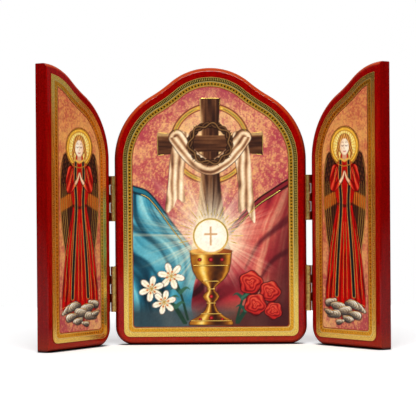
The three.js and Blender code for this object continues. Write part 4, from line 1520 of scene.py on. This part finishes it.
def make_table():
    """White paper on the table, with a painted contact shadow: it is darkened to grey where it is
    shut in, in the narrow gap under the rounded edges. The camera alone sees a painted glow on
    it, stronger towards the back, so that it shows pure white as a studio's paper does."""
    material, tree, shader = new_material("white_table_paper", Roughness=0.9)
    # Painted contact shadow: the paper's colour follows how shut in it is under the rounded edges.
    gap = add_node(tree, "ShaderNodeAmbientOcclusion", {"Distance": CONTACT_REACH})
    tone = add_node(tree, "ShaderNodeValToRGB", {"Fac": gap.outputs["AO"]})
    tone.color_ramp.elements[0].position, tone.color_ramp.elements[0].color = 0.42, rgba("#101010")
    tone.color_ramp.elements[1].position, tone.color_ramp.elements[1].color = 0.8, rgba("#f2f2f2")
    tree.links.new(tone.outputs["Color"], shader.inputs["Base Color"])
    # Painted glow: camera rays alone see the paper give off its own colour, more towards the back.
    seen = add_node(tree, "ShaderNodeLightPath").outputs["Is Camera Ray"]
    place_in = add_node(tree, "ShaderNodeTexCoord").outputs["Object"]
    back = add_node(tree, "ShaderNodeMapRange", {
        "Value": add_node(tree, "ShaderNodeSeparateXYZ", {"Vector": place_in}).outputs["Y"],
        "From Min": 0.0, "From Max": TABLE_FAR, "To Min": 0.36, "To Max": 0.82,
    })
    painted_glow = add_node(tree, "ShaderNodeMath", {0: seen, 1: back.outputs[0]}, operation="MULTIPLY")
    tree.links.new(tone.outputs["Color"], shader.inputs["Emission Color"])
    tree.links.new(painted_glow.outputs[0], shader.inputs["Emission Strength"])
    corners = [
        (-TABLE_HALF_WIDTH, TABLE_FRONT, 0), (TABLE_HALF_WIDTH, TABLE_FRONT, 0),
        (TABLE_HALF_WIDTH, TABLE_FAR, 0), (-TABLE_HALF_WIDTH, TABLE_FAR, 0),
    ]
    mesh = make_mesh("table_top", np.array(corners) - (0, 0, 0.05 * MM), [(0, 1, 2, 3)])
    mesh.materials.append(material)
    table = bpy.data.objects.new("table_top", mesh)
    bpy.context.collection.objects.link(table)
    table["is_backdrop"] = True


make_table()


# %% Lamps
def add_lamp(name, position, target, size_x, size_y, power, colour="#ffffff"):
    """A soft rectangular lamp that faces a point."""
    lamp = bpy.data.lights.new(name, "AREA")
    lamp.shape, lamp.size, lamp.size_y = "RECTANGLE", size_x, size_y
    lamp.energy, lamp.color = power, tuple(linear(colour))
    holder = bpy.data.objects.new(name, lamp)
    bpy.context.collection.objects.link(holder)
    holder.location = position
    aim = Vector(target) - Vector(position)
    holder.rotation_euler = aim.to_track_quat("-Z", "Y").to_euler()
    return holder


middle = (0, 0, HEIGHT / 2)
add_lamp("front_lamp", (0.0, -0.95, 0.78), middle, 1.15, 0.19, 15.5)
add_lamp("back_lamp", (0.0, 1.4, 1.3), middle, 1.2, 0.5, 3)


# %% The room
def make_room():
    """White where the camera looks past the table. For light and reflections, the white
    paper hung behind the table and the pale ceiling over it are bright, and the room on the
    near side is dark: the brightness follows how far a direction leans up and back."""
    world = bpy.data.worlds.new("room")
    world.use_nodes = True
    bpy.context.scene.world = world
    tree = world.node_tree
    tree.nodes.clear()
    way = add_node(tree, "ShaderNodeTexCoord").outputs["Generated"]
    lean = add_node(tree, "ShaderNodeVectorMath", {0: way, 1: (0, 0.9, 0.43)},
                    operation="DOT_PRODUCT")
    fade = add_node(tree, "ShaderNodeMapRange", {
        "Value": lean.outputs["Value"], "From Min": 0.04, "From Max": 0.24, "To Min": 0.01,
        "To Max": 0.42,
    })
    dim = add_node(tree, "ShaderNodeBackground", {"Strength": fade.outputs[0]})
    dim.inputs["Color"].default_value = (1, 1, 1, 1)
    white = add_node(tree, "ShaderNodeBackground", {"Color": (1, 1, 1, 1), "Strength": 1.0})
    seen = add_node(tree, "ShaderNodeLightPath").outputs["Is Camera Ray"]
    mix = add_node(tree, "ShaderNodeMixShader", {0: seen, 1: dim.outputs[0], 2: white.outputs[0]})
    add_node(tree, "ShaderNodeOutputWorld", {"Surface": mix.outputs[0]})


make_room()

# %% [markdown]
# ## The camera
#
# A long lens stands just under a metre away at the height of the middle of the boards.

# %% Camera
CAMERA_PLACE = (2.2 * MM, -922.3 * MM + BOARD_FRONT, 84.7 * MM)
CAMERA_TURN = (90 - 0.574, 0.409, 0.219)
FOCAL_LENGTH = 144.4
SENSOR_WIDTH = 36.0

lens = bpy.data.cameras.new("camera")
lens.lens, lens.sensor_width = FOCAL_LENGTH, SENSOR_WIDTH
lens.clip_start, lens.clip_end = 0.01, 50
camera = bpy.data.objects.new("camera", lens)
bpy.context.collection.objects.link(camera)
camera.location = CAMERA_PLACE
camera.rotation_euler = [math.radians(angle) for angle in CAMERA_TURN]
bpy.context.scene.camera = camera
bpy.context.scene.view_settings.view_transform = "Standard"
print("camera at", np.round(CAMERA_PLACE, 3))

# %% Sizes
low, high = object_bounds()
print("box", [round(v, 4) for v in (*low, *high)])
